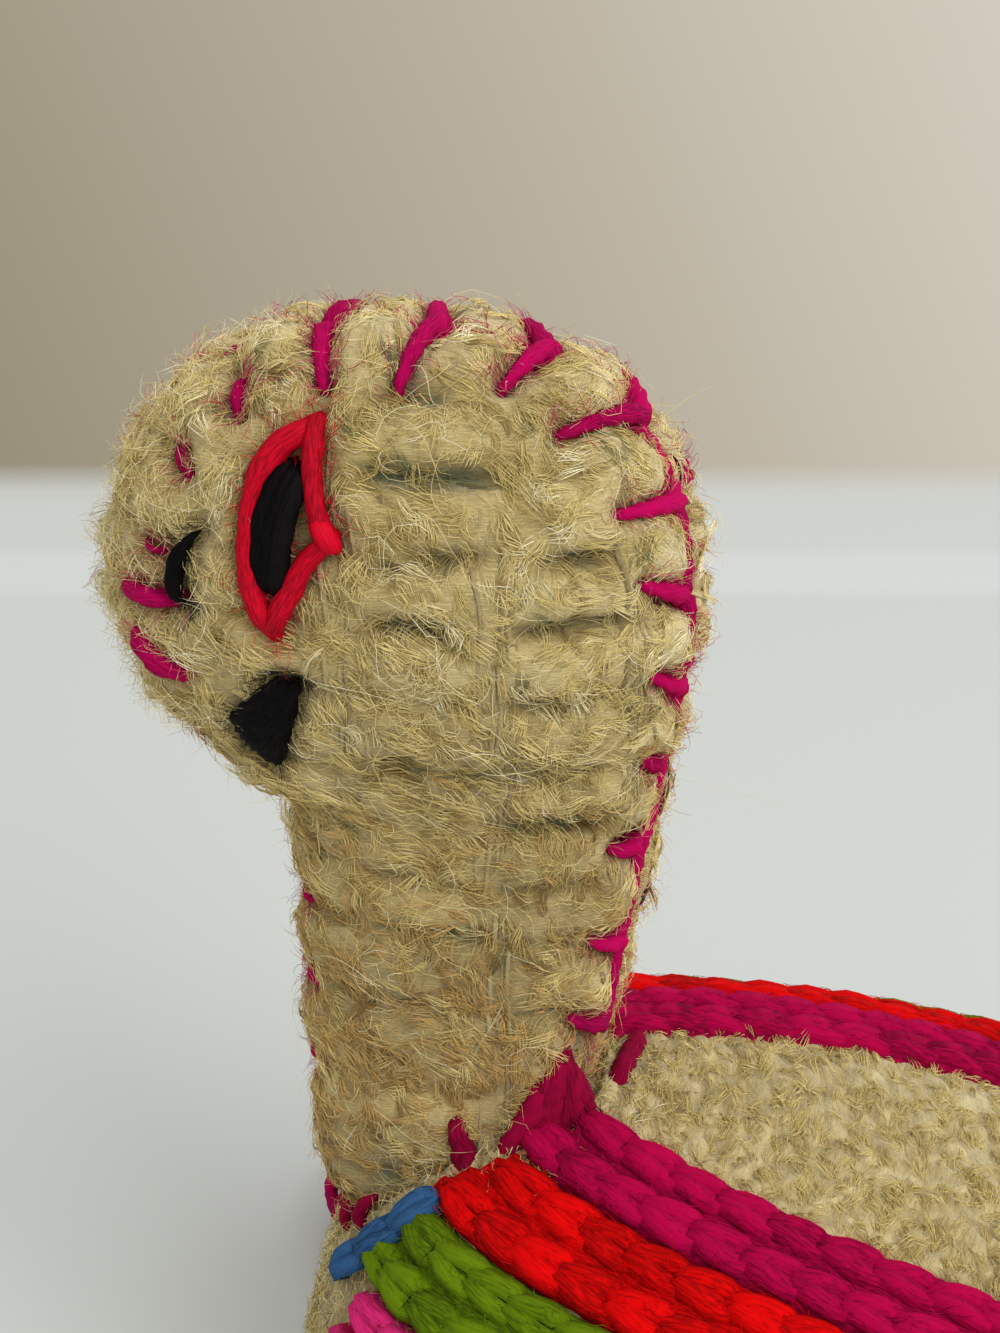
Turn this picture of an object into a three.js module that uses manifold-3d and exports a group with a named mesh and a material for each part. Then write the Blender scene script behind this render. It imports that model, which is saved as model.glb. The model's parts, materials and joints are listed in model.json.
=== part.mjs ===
// A hand-sewn wool turtle: a stuffed body under an embroidered domed shell, a tall neck and
// head made of two cloth panels, four paddle legs and a short tail.
//
// Millimetres. The turtle faces -Y, its left side is +X and up is +Z. The origin lies on the
// flat of the belly, under the middle of the body.

import * as THREE from 'three';
import { mergeVertices } from 'three/addons/utils/BufferGeometryUtils.js';
import Module from 'manifold-3d';

const wasm = await Module();
wasm.setup();

// Cloth and yarn
const clothThickness = 2;
const limbClothThickness = 1.6;
const yarnThickness = 1.5;
const stitchThickness = 1.2;
const yarnSides = 6;
const yarnPoints = 13;
const gap = 0.3;
const ovalPower = 2.4;

// Body: a dome sewn to a belly along the rim. The crown lies well ahead of the middle.
const bodyLength = 97;
const bodyWidth = 72;
const rimHeight = 14;
const crownHeight = 42;
const crownSetback = 18.5;
const crownForward = bodyLength / 2 - crownSetback;
const flankRoundness = 1.7;
const rearSlope = 1.5;
const rearRoundness = 0.87;
const bellyInset = 14;

// Neck: a column that narrows down to a round root, which turns about the hinge
const neckSetback = 10.3;
const neckForward = bodyLength / 2 - neckSetback;
const neckHingeDrop = 4.5;
const neckHingeHeight = crownHeight - neckHingeDrop;
const neckLength = 41.5;
const neckDepth = 20.8;
const neckWidth = 15.5;
const throatForward = neckForward - 3.2;
const throatDepth = 27.4;
const throatWidth = 18;
const neckNod = 12;

// Head: an oval over the neck. The muzzle is its widest level.
const muzzleHeight = neckHingeHeight + neckLength;
const headForward = neckForward + 2.6;
const headLength = 38;
const headWidth = 23;
const headRise = 17.4;
const chinDrop = 15.8;
const chinBlend = 1.6;

// Stitches over the edges of the head's panels
const stitchPitch = 6;
const stitchLength = 4.5;
const frontSeamEnd = 30;
const neckSeamReach = 80;

// Embroidered bands, as rows of chain stitch from the cream spine down to the rim
const rowWidth = 3.3;
const bandThickness = 1.3;
const spineHalfWidth = 12.7;
const spineStart = 3;
const spineRoundness = 0.6;
const valleyShare = 0.6;
const bandStations = 20;
const bands = [
  { name: 'magenta', rows: 2, colour: 0xb4005a },
  { name: 'red', rows: 2, colour: 0xdc0505 },
  { name: 'green', rows: 2, colour: 0x5a7d0a },
  { name: 'pink', rows: 2, colour: 0xc8286e },
  { name: 'blue', rows: 2, colour: 0x2d5f91 },
];
// The front row's places, from the neck's side and from its middle
const frontRowPath = [
  { beside: -3.2, ahead: 8.2 },
  { beside: -1, ahead: 6.4 },
  { beside: 0.7, ahead: 3.4 },
  { beside: 1.4, ahead: -0.2 },
];

// Face: the places are shares of the head's own sizes, from its middle and from the muzzle
const eyeAhead = 0.21;
const eyeRise = 0.4;
const eyeLength = 12.4;
const eyeFrontBulge = 2.9;
const eyeRearBulge = 1.9;
const eyeLean = 11;
const pupilLength = 8.2;
const pupilFrontBulge = 1.7;
const pupilRearBulge = 0.9;
const nostrilAhead = 0.55;
const nostrilRise = 0.2;
const nostrilLength = 4.2;
const mouthAhead = 0.39;
const mouthDrop = 0.4;
const mouthLength = 8;
const mouthWidth = 3.8;
const patchEdgeShare = 0.7;

// Legs and tail: stuffed paddles sewn on under the rim, each of two panels
const leg = { length: 22, width: 16, thickness: 9, hingeInset: 3.2 };
const tail = { length: 14, width: 8, thickness: 8, hingeInset: 2.4 };
const frontLegAngle = 38;
const rearLegAngle = 40;
const legLift = 0.3;
const tailHeight = 8;
const limbSeamReach = 140;

const cream = { color: 0xc8b985, roughness: 0.95, metalness: 0 };
const fill = { color: 0xe6e0cc, roughness: 1, metalness: 0 };
const magenta = { color: 0xb4005a, roughness: 0.9, metalness: 0 };
const eyeRed = { color: 0xd7002d, roughness: 0.85, metalness: 0 };
const black = { color: 0x0c0a0c, roughness: 0.9, metalness: 0 };
const blue = { color: 0x2d5f91, roughness: 0.9, metalness: 0 };

const nearlyNothing = 0.01;
const radians = THREE.MathUtils.degToRad;
const vector = (x, y, z) => new THREE.Vector3(x, y, z);

/** The values at which a length of yarn is placed, evenly from one to another. */
const evenly = (from, to) => Array.from({ length: yarnPoints }, (_, i) => (
  THREE.MathUtils.lerp(from, to, i / (yarnPoints - 1))
));

/** A closed solid for cutting and joining, from any closed geometry. */
function solid(geometry) {
  const bare = geometry.clone();
  bare.deleteAttribute('normal');
  bare.deleteAttribute('uv');
  const merged = mergeVertices(bare, 1e-4);
  return new wasm.Manifold(new wasm.Mesh({
    numProp: 3,
    vertProperties: new Float32Array(merged.attributes.position.array),
    triVerts: new Uint32Array(merged.index.array),
  }));
}

/** The geometry of a solid, shaded smooth from face to face. */
function geometryOf(shape) {
  const mesh = shape.getMesh();
  const geometry = new THREE.BufferGeometry();
  geometry.setAttribute('position', new THREE.BufferAttribute(mesh.vertProperties, 3));
  geometry.setIndex(new THREE.BufferAttribute(mesh.triVerts, 1));
  geometry.computeVertexNormals();
  return geometry;
}

/** The same shape on the turtle's other side. */
function mirrored(shape) {
  const geometry = geometryOf(shape);
  geometry.scale(-1, 1, 1);
  const index = geometry.index.array;
  for (let i = 0; i < index.length; i += 3) {
    [index[i], index[i + 1]] = [index[i + 1], index[i]];
  }
  return solid(geometry);
}

/** A skin over rings of points that follow one another, closed by a fan at each end. */
function loft(rings, startTip, endTip) {
  const count = rings[0].length;
  const points = rings.flat();
  const faces = [];
  for (let ring = 0; ring + 1 < rings.length; ring++) {
    for (let i = 0; i < count; i++) {
      const a = ring * count + i;
      const b = ring * count + (i + 1) % count;
      faces.push(a, b, b + count, a, b + count, a + count);
    }
  }
  points.push(startTip ?? middleOf(rings[0]), endTip ?? middleOf(rings.at(-1)));
  const last = (rings.length - 1) * count;
  for (let i = 0; i < count; i++) {
    const next = (i + 1) % count;
    faces.push(next, i, points.length - 2, last + i, last + next, points.length - 1);
  }
  return solid(new THREE.BufferGeometry().setFromPoints(points).setIndex(faces));
}

function middleOf(points) {
  const sum = points.reduce((total, point) => total.add(point), vector(0, 0, 0));
  return sum.divideScalar(points.length);
}

/** A solid ring of yarn through points that close on themselves. */
function yarnLoop(points, normals, thickness) {
  const sections = points.map((point, i) => {
    const along = points[(i + 1) % points.length].clone();
    along.sub(points[(i + points.length - 1) % points.length]).normalize();
    const side = normals[i].clone().cross(along).normalize();
    return circleOf(point, side, normals[i], thickness / 2);
  });
  const faces = [];
  sections.forEach((_, section) => {
    const next = ((section + 1) % sections.length) * yarnSides;
    for (let i = 0; i < yarnSides; i++) {
      const a = section * yarnSides + i;
      const b = section * yarnSides + (i + 1) % yarnSides;
      const c = next + (i + 1) % yarnSides;
      faces.push(a, b, c, a, c, next + i);
    }
  });
  return solid(new THREE.BufferGeometry().setFromPoints(sections.flat()).setIndex(faces));
}

function circleOf(middle, side, up, radius) {
  return Array.from({ length: yarnSides }, (_, i) => {
    const angle = (2 * Math.PI * i) / yarnSides;
    return middle.clone()
      .addScaledVector(side, radius * Math.cos(angle))
      .addScaledVector(up, radius * Math.sin(angle));
  });
}

/** A length of yarn through points. */
function yarn(points, thickness, steps) {
  const section = new THREE.Shape().absarc(0, 0, thickness / 2, 0, 2 * Math.PI);
  return solid(new THREE.ExtrudeGeometry(section, {
    steps,
    curveSegments: yarnSides / 2,
    bevelEnabled: false,
    extrudePath: new THREE.CatmullRomCurve3(points),
  }));
}

/** A box between two corners. */
function block(low, high) {
  const size = high.clone().sub(low);
  const geometry = new THREE.BoxGeometry(size.x, size.y, size.z);
  geometry.translate(...low.clone().add(high).divideScalar(2).toArray());
  return solid(geometry);
}

const reach = bodyLength + muzzleHeight;
const below = (height) => block(vector(-reach, -reach, -reach), vector(reach, reach, height));
const above = (height) => block(vector(-reach, -reach, height), vector(reach, reach, reach));
const leftOf = (x) => block(vector(x, -reach, -reach), vector(reach, reach, reach));

// The outlines of the body and the head are ovals stacked on one another

/** The other side of a quarter of an oval with half sizes of 1: 2 is a circle, more is squarer. */
const quarter = (side, power) => Math.pow(1 - Math.pow(side, power), 1 / power);

/** Shares from 0 to 1 for the rings of a dome, closest together where it flattens out. */
const domeShare = (step, steps) => Math.sin((step / steps) * Math.PI / 2);

/** A point of a slightly squared oval with half sizes of 1. */
function onOval(angle) {
  const squared = (value) => Math.sign(value) * Math.pow(Math.abs(value), 2 / ovalPower);
  return { x: squared(Math.sin(angle)), y: squared(Math.cos(angle)) };
}

function ring(oval, height, count) {
  return Array.from({ length: count }, (_, i) => {
    const { x, y } = onOval(-2 * Math.PI * i / count);
    return vector(x * oval.halfWidth, oval.middle + y * oval.halfLength, height);
  });
}

/** The body's oval at a height, for the outer face of its cloth. */
function bodyOval(height) {
  if (height >= rimHeight) {
    const rise = Math.min((height - rimHeight) / (crownHeight - rimHeight), 1);
    const front = crownForward + quarter(rise, 2) * (bodyLength / 2 - crownForward);
    const rear = Math.pow(1 - Math.pow(rise, rearSlope), rearRoundness);
    const back = -crownForward + rear * (bodyLength / 2 + crownForward);
    return fromEdges(front, back, quarter(rise, flankRoundness) * bodyWidth / 2);
  }
  const drop = 1 - Math.max(height, 0) / rimHeight;
  const inset = bellyInset * (1 - quarter(drop, 2));
  return { middle: 0, halfLength: bodyLength / 2 - inset, halfWidth: bodyWidth / 2 - inset };
}

/** The whole body, drawn in all round by an inset. */
function bodyForm(inset, count) {
  const rings = [];
  const bellySteps = count / 12;
  for (let step = bellySteps; step > 0; step--) {
    const drop = rimHeight * domeShare(step, bellySteps);
    const lower = drop * (1 - inset / rimHeight);
    rings.push(insetRing(bodyOval(rimHeight - drop), inset, rimHeight - lower, count));
  }
  const domeSteps = count / 4;
  const dome = crownHeight - rimHeight;
  for (let step = 0; step < domeSteps; step++) {
    const rise = dome * domeShare(step, domeSteps);
    const lower = rise * (1 - inset / dome);
    rings.push(insetRing(bodyOval(rimHeight + rise), inset, rimHeight + lower, count));
  }
  return loft(rings, undefined, vector(0, -crownForward, crownHeight - inset));
}

function insetRing(oval, inset, height, count) {
  const { middle, halfLength, halfWidth } = oval;
  const smaller = { middle, halfLength: halfLength - inset, halfWidth: halfWidth - inset };
  return ring(smaller, height, count);
}

/** Less than 0 inside the shell's outer face, 0 on it and more outside. */
function shellLevel(point) {
  const highest = crownHeight - nearlyNothing;
  const height = THREE.MathUtils.clamp(point.z, rimHeight, highest);
  return beyond(bodyOval(height), point) + Math.max(point.z - highest, 0);
}

/** Less than 0 inside an oval, 0 on it and more outside. */
function beyond({ middle, halfLength, halfWidth }, point) {
  const across = Math.pow(Math.abs(point.x) / halfWidth, ovalPower);
  const along = Math.pow(Math.abs(point.y - middle) / halfLength, ovalPower);
  return Math.pow(across + along, 1 / ovalPower) - 1;
}

const larger = (a, b, blend) => (a + b + Math.hypot(a - b, blend)) / 2;

/** The oval of the head and neck at a height, for the outer face of their cloth. */
function headOval(height) {
  const over = height >= muzzleHeight;
  const share = Math.min(Math.abs(height - muzzleHeight) / (over ? headRise : chinDrop), 1);
  const size = quarter(share, over ? ovalPower : 2);
  const head = {
    front: headForward + size * headLength / 2,
    back: -headForward + size * headLength / 2,
    half: size * headWidth / 2,
  };
  if (over) return fromEdges(head.front, head.back, head.half);
  const up = (height - neckHingeHeight) / (muzzleHeight - neckHingeHeight);
  const forward = THREE.MathUtils.lerp(neckForward, throatForward, up);
  const depth = THREE.MathUtils.lerp(neckDepth, throatDepth, up);
  const width = THREE.MathUtils.lerp(neckWidth, throatWidth, up);
  const blend = chinBlend * Math.min((muzzleHeight - height) / chinDrop, 1);
  return fromEdges(
    larger(head.front, forward + depth / 2, blend),
    larger(head.back, -forward + depth / 2, blend),
    larger(head.half, width / 2, blend),
  );
}

/** An oval from how far it reaches forward, backward and to a side. */
function fromEdges(front, back, half) {
  return { middle: (back - front) / 2, halfLength: (front + back) / 2, halfWidth: half };
}

/** The oval of the neck at its hinge, grown all round. */
const rootOval = (growth) => (
  fromEdges(neckForward + neckDepth / 2 + growth, neckDepth / 2 - neckForward + growth,
    neckWidth / 2 + growth)
);

/** The neck's round root: half an oval turned about the hinge, so that a nod keeps its place. */
function neckRoot(growth) {
  const { halfLength, halfWidth } = rootOval(growth);
  const steps = 10;
  const profile = Array.from({ length: steps + 1 }, (_, i) => {
    const { x, y } = onOval(Math.PI * i / steps - Math.PI / 2);
    return new THREE.Vector2(y * halfLength, x * halfWidth);
  });
  profile[0].x = 0;
  profile[steps].x = 0;
  const geometry = new THREE.LatheGeometry(profile, 20);
  geometry.rotateZ(-Math.PI / 2);
  geometry.translate(0, -neckForward, neckHingeHeight);
  return solid(geometry);
}

/** The head and neck together, drawn in all round by an inset. */
function headForm(inset, count) {
  const rings = [];
  const columnSteps = 4;
  const chinSteps = 5;
  const domeSteps = 7;
  const column = muzzleHeight - chinDrop - neckHingeHeight;
  for (let step = 0; step < columnSteps; step++) {
    rings.push(headRing(neckHingeHeight + column * step / columnSteps, inset, 0, count));
  }
  for (let step = chinSteps; step > 0; step--) {
    rings.push(headRing(muzzleHeight - chinDrop * domeShare(step, chinSteps), inset, 0, count));
  }
  for (let step = 0; step < domeSteps; step++) {
    const rise = domeShare(step, domeSteps);
    rings.push(headRing(muzzleHeight + headRise * rise, inset, inset * rise, count));
  }
  const top = vector(0, -headForward, muzzleHeight + headRise - inset);
  return loft(rings, undefined, top).add(neckRoot(-inset - nearlyNothing));
}

function headRing(height, inset, lower, count) {
  return insetRing(headOval(height), inset, height - lower, count);
}

/** Less than 0 inside the outer face of the head and neck, 0 on it and more outside. */
function headLevel(point) {
  if (point.z >= muzzleHeight) {
    return Math.pow(Math.abs(point.x) / (headWidth / 2), ovalPower)
      + Math.pow(Math.abs(point.y + headForward) / (headLength / 2), ovalPower)
      + Math.pow((point.z - muzzleHeight) / headRise, ovalPower) - 1;
  }
  if (point.z < neckHingeHeight) {
    const radius = Math.hypot(point.y + neckForward, point.z - neckHingeHeight);
    return beyond(rootOval(0), vector(point.x, -neckForward - radius, point.z));
  }
  return beyond(headOval(point.z), point);
}

// Finding the way over a surface

function slope(level, point) {
  const step = 0.01;
  const change = (x, y, z) => {
    const offset = vector(x, y, z).multiplyScalar(step);
    return level(point.clone().add(offset)) - level(point.clone().sub(offset));
  };
  return vector(change(1, 0, 0), change(0, 1, 0), change(0, 0, 1)).divideScalar(2 * step);
}

const normalAt = (level, point) => slope(level, point).normalize();

/** The point of the surface nearest to one beside it. */
function settle(level, point) {
  const found = point.clone();
  for (let turn = 0; turn < 8; turn++) {
    const steepest = slope(level, found);
    found.addScaledVector(steepest, -level(found) / steepest.lengthSq());
  }
  return found;
}

/** The point of the shell over a place on the ground. */
function onShell(x, y) {
  const point = vector(x, y, 0);
  let low = rimHeight;
  let high = crownHeight;
  while (high - low > nearlyNothing / 10) {
    point.z = (low + high) / 2;
    if (shellLevel(point) < 0) low = point.z;
    else high = point.z;
  }
  return point;
}

/** Where a walk of some length over the surface ends, straight ahead in a direction. */
function walk(level, from, direction, length) {
  const steps = Math.max(Math.ceil(length), 1);
  let point = from.clone();
  for (let step = 0; step < steps; step++) {
    const normal = normalAt(level, point);
    const ahead = direction.clone().addScaledVector(normal, -direction.dot(normal)).normalize();
    point = settle(level, point.addScaledVector(ahead, length / steps));
  }
  return point;
}

const lifted = (level, point, height) => (
  point.clone().addScaledVector(normalAt(level, point), height)
);

/** The point of the head's left side at a distance forward and a height. */
function onHeadSide(forward, height) {
  const { middle, halfLength, halfWidth } = headOval(height);
  const share = Math.abs(forward + middle) / halfLength;
  return vector(halfWidth * quarter(share, ovalPower), -forward, height);
}

/** The forward distance and height of a place on the head's side, given in shares. */
function placeOnHead(ahead, rise) {
  return {
    forward: headForward + ahead * headLength / 2,
    height: muzzleHeight + rise * (rise > 0 ? headRise : chinDrop),
  };
}

// Body pieces

const neckSeamTop = crownHeight + gap + yarnThickness;

/** The oval that the neck's column takes at every nod where it leaves the shell, grown all
 * round. */
function neckRoomOval(growth) {
  const nod = (neckSeamTop - neckHingeHeight) * Math.sin(radians(neckNod));
  const { middle, halfLength, halfWidth } = headOval(neckSeamTop);
  return { middle, halfLength: halfLength + nod + growth, halfWidth: halfWidth + growth };
}

/** The space that the neck's root and column take at every nod, grown all round. */
function neckRoom(growth) {
  const foot = neckHingeHeight - neckDepth / 2 * Math.sin(radians(neckNod));
  const column = loft([
    ring(neckRoomOval(growth), foot, 24),
    ring(neckRoomOval(growth), foot + 2 * neckDepth, 24),
  ]);
  return neckRoot(growth).add(column);
}

function bodyCloth() {
  return bodyForm(0, 48).subtract(bodyForm(clothThickness, 24));
}

function shellCover(room) {
  return bodyCloth().subtract(below(rimHeight + gap / 2)).subtract(room);
}

function bellyPanel() {
  return bodyCloth().subtract(above(rimHeight - gap / 2));
}

function bodyFill(room) {
  return bodyForm(clothThickness + gap, 24).subtract(room);
}

/** The yarn laid along the seam between the shell and the belly. */
function rimSeamYarn() {
  const out = gap + yarnThickness / 2;
  const points = insetRing(bodyOval(rimHeight), -out, rimHeight, 44);
  return yarnLoop(points, points.map(() => vector(0, 0, 1)), yarnThickness);
}

/** Rows of points half a chain row apart, from the edge of the spine down the left flank. */
function flankRows() {
  const start = neckForward - neckDepth / 2;
  const end = bodyLength / 2 - 2 * clothThickness;
  const edge = Array.from({ length: bandStations + 1 }, (_, i) => {
    const share = (1 - Math.cos(Math.PI * i / bandStations)) / 2;
    const bulge = Math.pow(Math.sin(Math.PI * share), spineRoundness);
    const x = THREE.MathUtils.lerp(spineStart, spineHalfWidth, bulge);
    return onShell(x, THREE.MathUtils.lerp(-start, end, share));
  });
  const halfRows = 2 * bands.reduce((sum, band) => sum + band.rows, 0);
  const rows = [edge];
  while (rows.length <= halfRows) {
    const inner = rows.at(-1);
    rows.push(inner.map((point, i) => {
      const along = inner[Math.min(i + 1, inner.length - 1)].clone();
      along.sub(inner[Math.max(i - 1, 0)]);
      const out = along.cross(normalAt(shellLevel, point));
      return walk(shellLevel, point, out, rowWidth / 2);
    }));
  }
  return rows;
}

/** One band of the left flank: a strip over the shell, each row of chain stitch a low ridge. */
function flankBand(rows, first, rowCount, trim) {
  const last = first + 2 * rowCount;
  const sections = rows[0].map((_, station) => {
    const under = [];
    const over = [];
    for (let row = first; row <= last; row++) {
      const ridge = (row - first) % 2 === 1 ? 1 : valleyShare;
      const inside = row === first ? gap / 2 : 0;
      const outside = row === last ? gap / 2 : 0;
      const along = rows[Math.min(row + 1, last)][station].clone();
      along.sub(rows[Math.max(row - 1, first)][station]).normalize();
      const point = rows[row][station].clone().addScaledVector(along, inside - outside);
      under.push(lifted(shellLevel, point, gap));
      over.push(lifted(shellLevel, point, gap + bandThickness * ridge));
    }
    return [...over, ...under.reverse()];
  });
  return largest(trim.reduce((band, tool) => band.subtract(tool), loft(sections)));
}

function largest(shape) {
  const pieces = shape.decompose();
  return pieces.reduce((best, piece) => (piece.volume() > best.volume() ? piece : best));
}

/** The short row of chain stitch that hugs the front of the neck, on the left. */
function frontRow() {
  const points = frontRowPath.map(({ beside, ahead }) => {
    const place = onShell(neckWidth / 2 + beside, -neckForward - ahead);
    return lifted(shellLevel, place, gap + yarnThickness / 2);
  });
  return yarn(points, yarnThickness, 9);
}

// Head and neck pieces

function headPanel() {
  const cloth = headForm(0, 24).subtract(headForm(clothThickness, 24));
  const trimmed = cloth.subtract(below(neckHingeHeight - neckDepth / 2 + 2 * clothThickness));
  return trimmed.intersect(leftOf(gap / 2));
}

function headFill() {
  return headForm(clothThickness + gap, 16);
}

/** How low the yarn at the nape may start and still pass over the neck's seam at every nod. */
function napeHeight() {
  const nod = radians(neckNod);
  const behind = neckDepth / 2 + 2 * (gap + yarnThickness);
  const rise = neckSeamTop + gap - neckHingeHeight + behind * Math.sin(nod);
  return neckHingeHeight + rise / Math.cos(nod);
}

/** The edge of the head's panels in the middle plane, from the nape over the head to the neck's
 * front, as points on the cloth. */
function headEdge() {
  const nape = evenly(napeHeight(), muzzleHeight).map((height) => edgeAt(height, 1));
  const archSteps = 18;
  const arch = Array.from({ length: archSteps - 1 }, (_, i) => {
    const { x, y } = onOval(Math.PI * (i + 1) / archSteps);
    return vector(0, y * headLength / 2 - headForward, muzzleHeight + x * headRise);
  });
  const front = evenly(muzzleHeight, neckHingeHeight).map((height) => edgeAt(height, -1));
  const root = [1 / 3, 2 / 3, 1].map((share) => {
    const angle = radians(frontSeamEnd * share);
    const down = Math.sin(angle) * neckDepth / 2;
    return vector(0, -neckForward - Math.cos(angle) * neckDepth / 2, neckHingeHeight - down);
  });
  return [...nape, ...arch, ...front, ...root];
}

function edgeAt(height, end) {
  const { middle, halfLength } = headOval(height);
  return vector(0, middle + end * halfLength, height);
}

/** Blanket stitch: yarn along the edge of the panels and stitches over it on both sides. */
function headSeamYarn() {
  const out = gap + yarnThickness / 2;
  const edge = new THREE.CatmullRomCurve3(headEdge());
  const spaced = edge.getSpacedPoints(54);
  let seam = yarn(spaced.map((point) => lifted(headLevel, point, out)), yarnThickness, 54);
  const count = Math.floor(edge.getLength() / stitchPitch);
  for (let stitch = 0; stitch < count; stitch++) {
    const start = settle(headLevel, edge.getPointAt((stitch + 0.5) / count));
    const points = [0, 0.5, 1].map((share) => {
      const end = walk(headLevel, start, vector(1, 0, 0), share * stitchLength);
      return lifted(headLevel, end, out);
    });
    const left = yarn(points, stitchThickness, 2);
    seam = seam.add(left).add(mirrored(left));
  }
  return seam;
}

/** A point on the shell beside the neck, at an angle from the neck's back, raised for yarn. */
function besideNeck(angle) {
  const { middle, halfLength, halfWidth } = neckRoomOval(2 * gap + yarnThickness / 2);
  const { x, y } = onOval(radians(angle));
  const point = onShell(x * halfWidth, middle + y * halfLength);
  return lifted(shellLevel, point, gap + yarnThickness / 2);
}

/** The yarn that sews the neck to the shell, round the back and sides of its root. */
function neckBaseYarn() {
  const points = evenly(-neckSeamReach, neckSeamReach).map(besideNeck);
  return yarn(points, yarnThickness, 2 * yarnPoints);
}

/** The almond outline of the eye at a size, from tip to tip and back. */
function almond(length, frontBulge, rearBulge, steps) {
  const points = [];
  const place = placeOnHead(eyeAhead, eyeRise);
  const lean = radians(eyeLean);
  for (let i = 0; i < 2 * steps; i++) {
    const along = i < steps ? 1 - 2 * i / steps : 2 * (i - steps) / steps - 1;
    const bulge = (1 - along * along) * (i < steps ? frontBulge : -rearBulge);
    const up = along * length / 2;
    const forward = bulge * Math.cos(lean) - up * Math.sin(lean);
    const height = up * Math.cos(lean) + bulge * Math.sin(lean);
    points.push(onHeadSide(place.forward + forward, place.height + height));
  }
  return points;
}

function eyeOutline() {
  const points = almond(eyeLength, eyeFrontBulge, eyeRearBulge, 10);
  const out = gap + yarnThickness / 2;
  const raised = points.map((point) => lifted(headLevel, point, out));
  return yarnLoop(raised, points.map((point) => normalAt(headLevel, point)), yarnThickness);
}

/** A stitched patch: its outline on the head, raised by a thickness. */
function patch(outline, thickness) {
  const middle = settle(headLevel, middleOf(outline));
  const raise = (height) => outline.map((point) => lifted(headLevel, point, height));
  const low = lifted(headLevel, middle, gap);
  const high = lifted(headLevel, middle, gap + thickness);
  return loft([raise(gap), raise(gap + patchEdgeShare * thickness)], low, high);
}

function eyeCentre() {
  return patch(almond(pupilLength, pupilFrontBulge, pupilRearBulge, 6), yarnThickness);
}

function nostril() {
  const place = placeOnHead(nostrilAhead, nostrilRise);
  const points = [-0.5, 0, 0.5].map((share) => {
    const bow = nostrilLength * (0.25 - share * share) / 2;
    const point = onHeadSide(place.forward + bow, place.height + share * nostrilLength);
    return lifted(headLevel, point, gap + yarnThickness / 2);
  });
  return yarn(points, yarnThickness, 6);
}

/** A wedge of black stitches that widens from the cheek down to the chin. */
function mouth() {
  const place = placeOnHead(mouthAhead, -mouthDrop);
  const corners = [[0.7, -0.2], [0.2, -0.5], [-0.4, -0.4], [-0.6, 0.5], [-0.2, 0.3]];
  const outline = corners.map(([forward, up]) => (
    onHeadSide(place.forward + forward * mouthWidth, place.height + up * mouthLength)
  ));
  return patch(outline, yarnThickness);
}

// Legs and tail

/** A stuffed paddle along X with its hinge at the origin, drawn in all round by an inset. */
function paddle({ length, width, thickness, hingeInset }, inset) {
  const geometry = new THREE.SphereGeometry(1, 14, 8);
  geometry.rotateX(Math.PI / 2);
  geometry.scale(length / 2 - inset, width / 2 - inset, thickness / 2 - inset);
  geometry.translate(length / 2 - hingeInset, 0, 0);
  return solid(geometry);
}

const paddleCloth = (limb) => paddle(limb, 0).subtract(paddle(limb, limbClothThickness));

/** The yarn along a limb's edge, from its root round the toe and back. */
function limbEdgeYarn({ length, width, hingeInset }) {
  const out = gap + yarnThickness / 2;
  const points = evenly(-limbSeamReach, limbSeamReach).map(radians).map((angle) => vector(
    length / 2 - hingeInset + Math.cos(angle) * (length / 2 + out),
    Math.sin(angle) * (width / 2 + out),
    0,
  ));
  return yarn(points, yarnThickness, 18);
}

/** A point and the outward direction of the body's side, from the middle of its front or rear. */
function bodySide(height, angle) {
  const { halfLength, halfWidth } = bodyOval(height);
  const { x, y } = onOval(angle);
  const point = vector(x * halfWidth, y * halfLength, height);
  const power = ovalPower - 1;
  const steepness = (value, half) => Math.sign(value) * Math.pow(Math.abs(value), power) / half;
  return { point, out: vector(steepness(x, halfWidth), steepness(y, halfLength), 0).normalize() };
}

/** A limb as a group whose X points out from the body's side and whose origin is its hinge. */
function limbGroup(name, limb, height, angle) {
  const { point, out } = bodySide(height, angle);
  const group = new THREE.Group();
  group.position.copy(point.addScaledVector(out, limb.hingeInset + gap));
  group.rotation.z = Math.atan2(out.y, out.x);
  group.add(
    piece(`${name}_upper_panel`, paddleCloth(limb).subtract(below(gap / 2)), cream),
    piece(`${name}_lower_panel`, paddleCloth(limb).subtract(above(-gap / 2)), cream),
    piece(`${name}_fill`, paddle(limb, limbClothThickness + gap), fill),
    piece(`${name}_edge_yarn`, limbEdgeYarn(limb), magenta),
  );
  return group;
}

// The whole turtle

function piece(name, shape, finish) {
  const mesh = new THREE.Mesh(geometryOf(shape), new THREE.MeshStandardMaterial(finish));
  mesh.name = name;
  return mesh;
}

/** A piece of the left side and its mirror image on the right. */
function pair(name, shape, finish) {
  return [
    piece(`${name}_left`, shape, finish),
    piece(`${name}_right`, mirrored(shape), finish),
  ];
}

const turtle = new THREE.Group();
const room = neckRoom(gap);

turtle.add(
  piece('shell_cover', shellCover(room), cream),
  piece('belly_panel', bellyPanel(), cream),
  piece('body_fill', bodyFill(room), fill),
  piece('rim_seam_yarn', rimSeamYarn(), magenta),
  piece('neck_base_yarn', neckBaseYarn(), magenta),
);

const rows = flankRows();
const trim = [below(rimHeight + yarnThickness), neckRoom(5 * gap + yarnThickness)];
let firstRow = 0;
for (const { name, rows: rowCount, colour } of bands) {
  const finish = { color: colour, roughness: 0.9, metalness: 0 };
  turtle.add(...pair(`band_${name}`, flankBand(rows, firstRow, rowCount, trim), finish));
  firstRow += 2 * rowCount;
}
turtle.add(...pair('front_row', frontRow(), blue));

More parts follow.
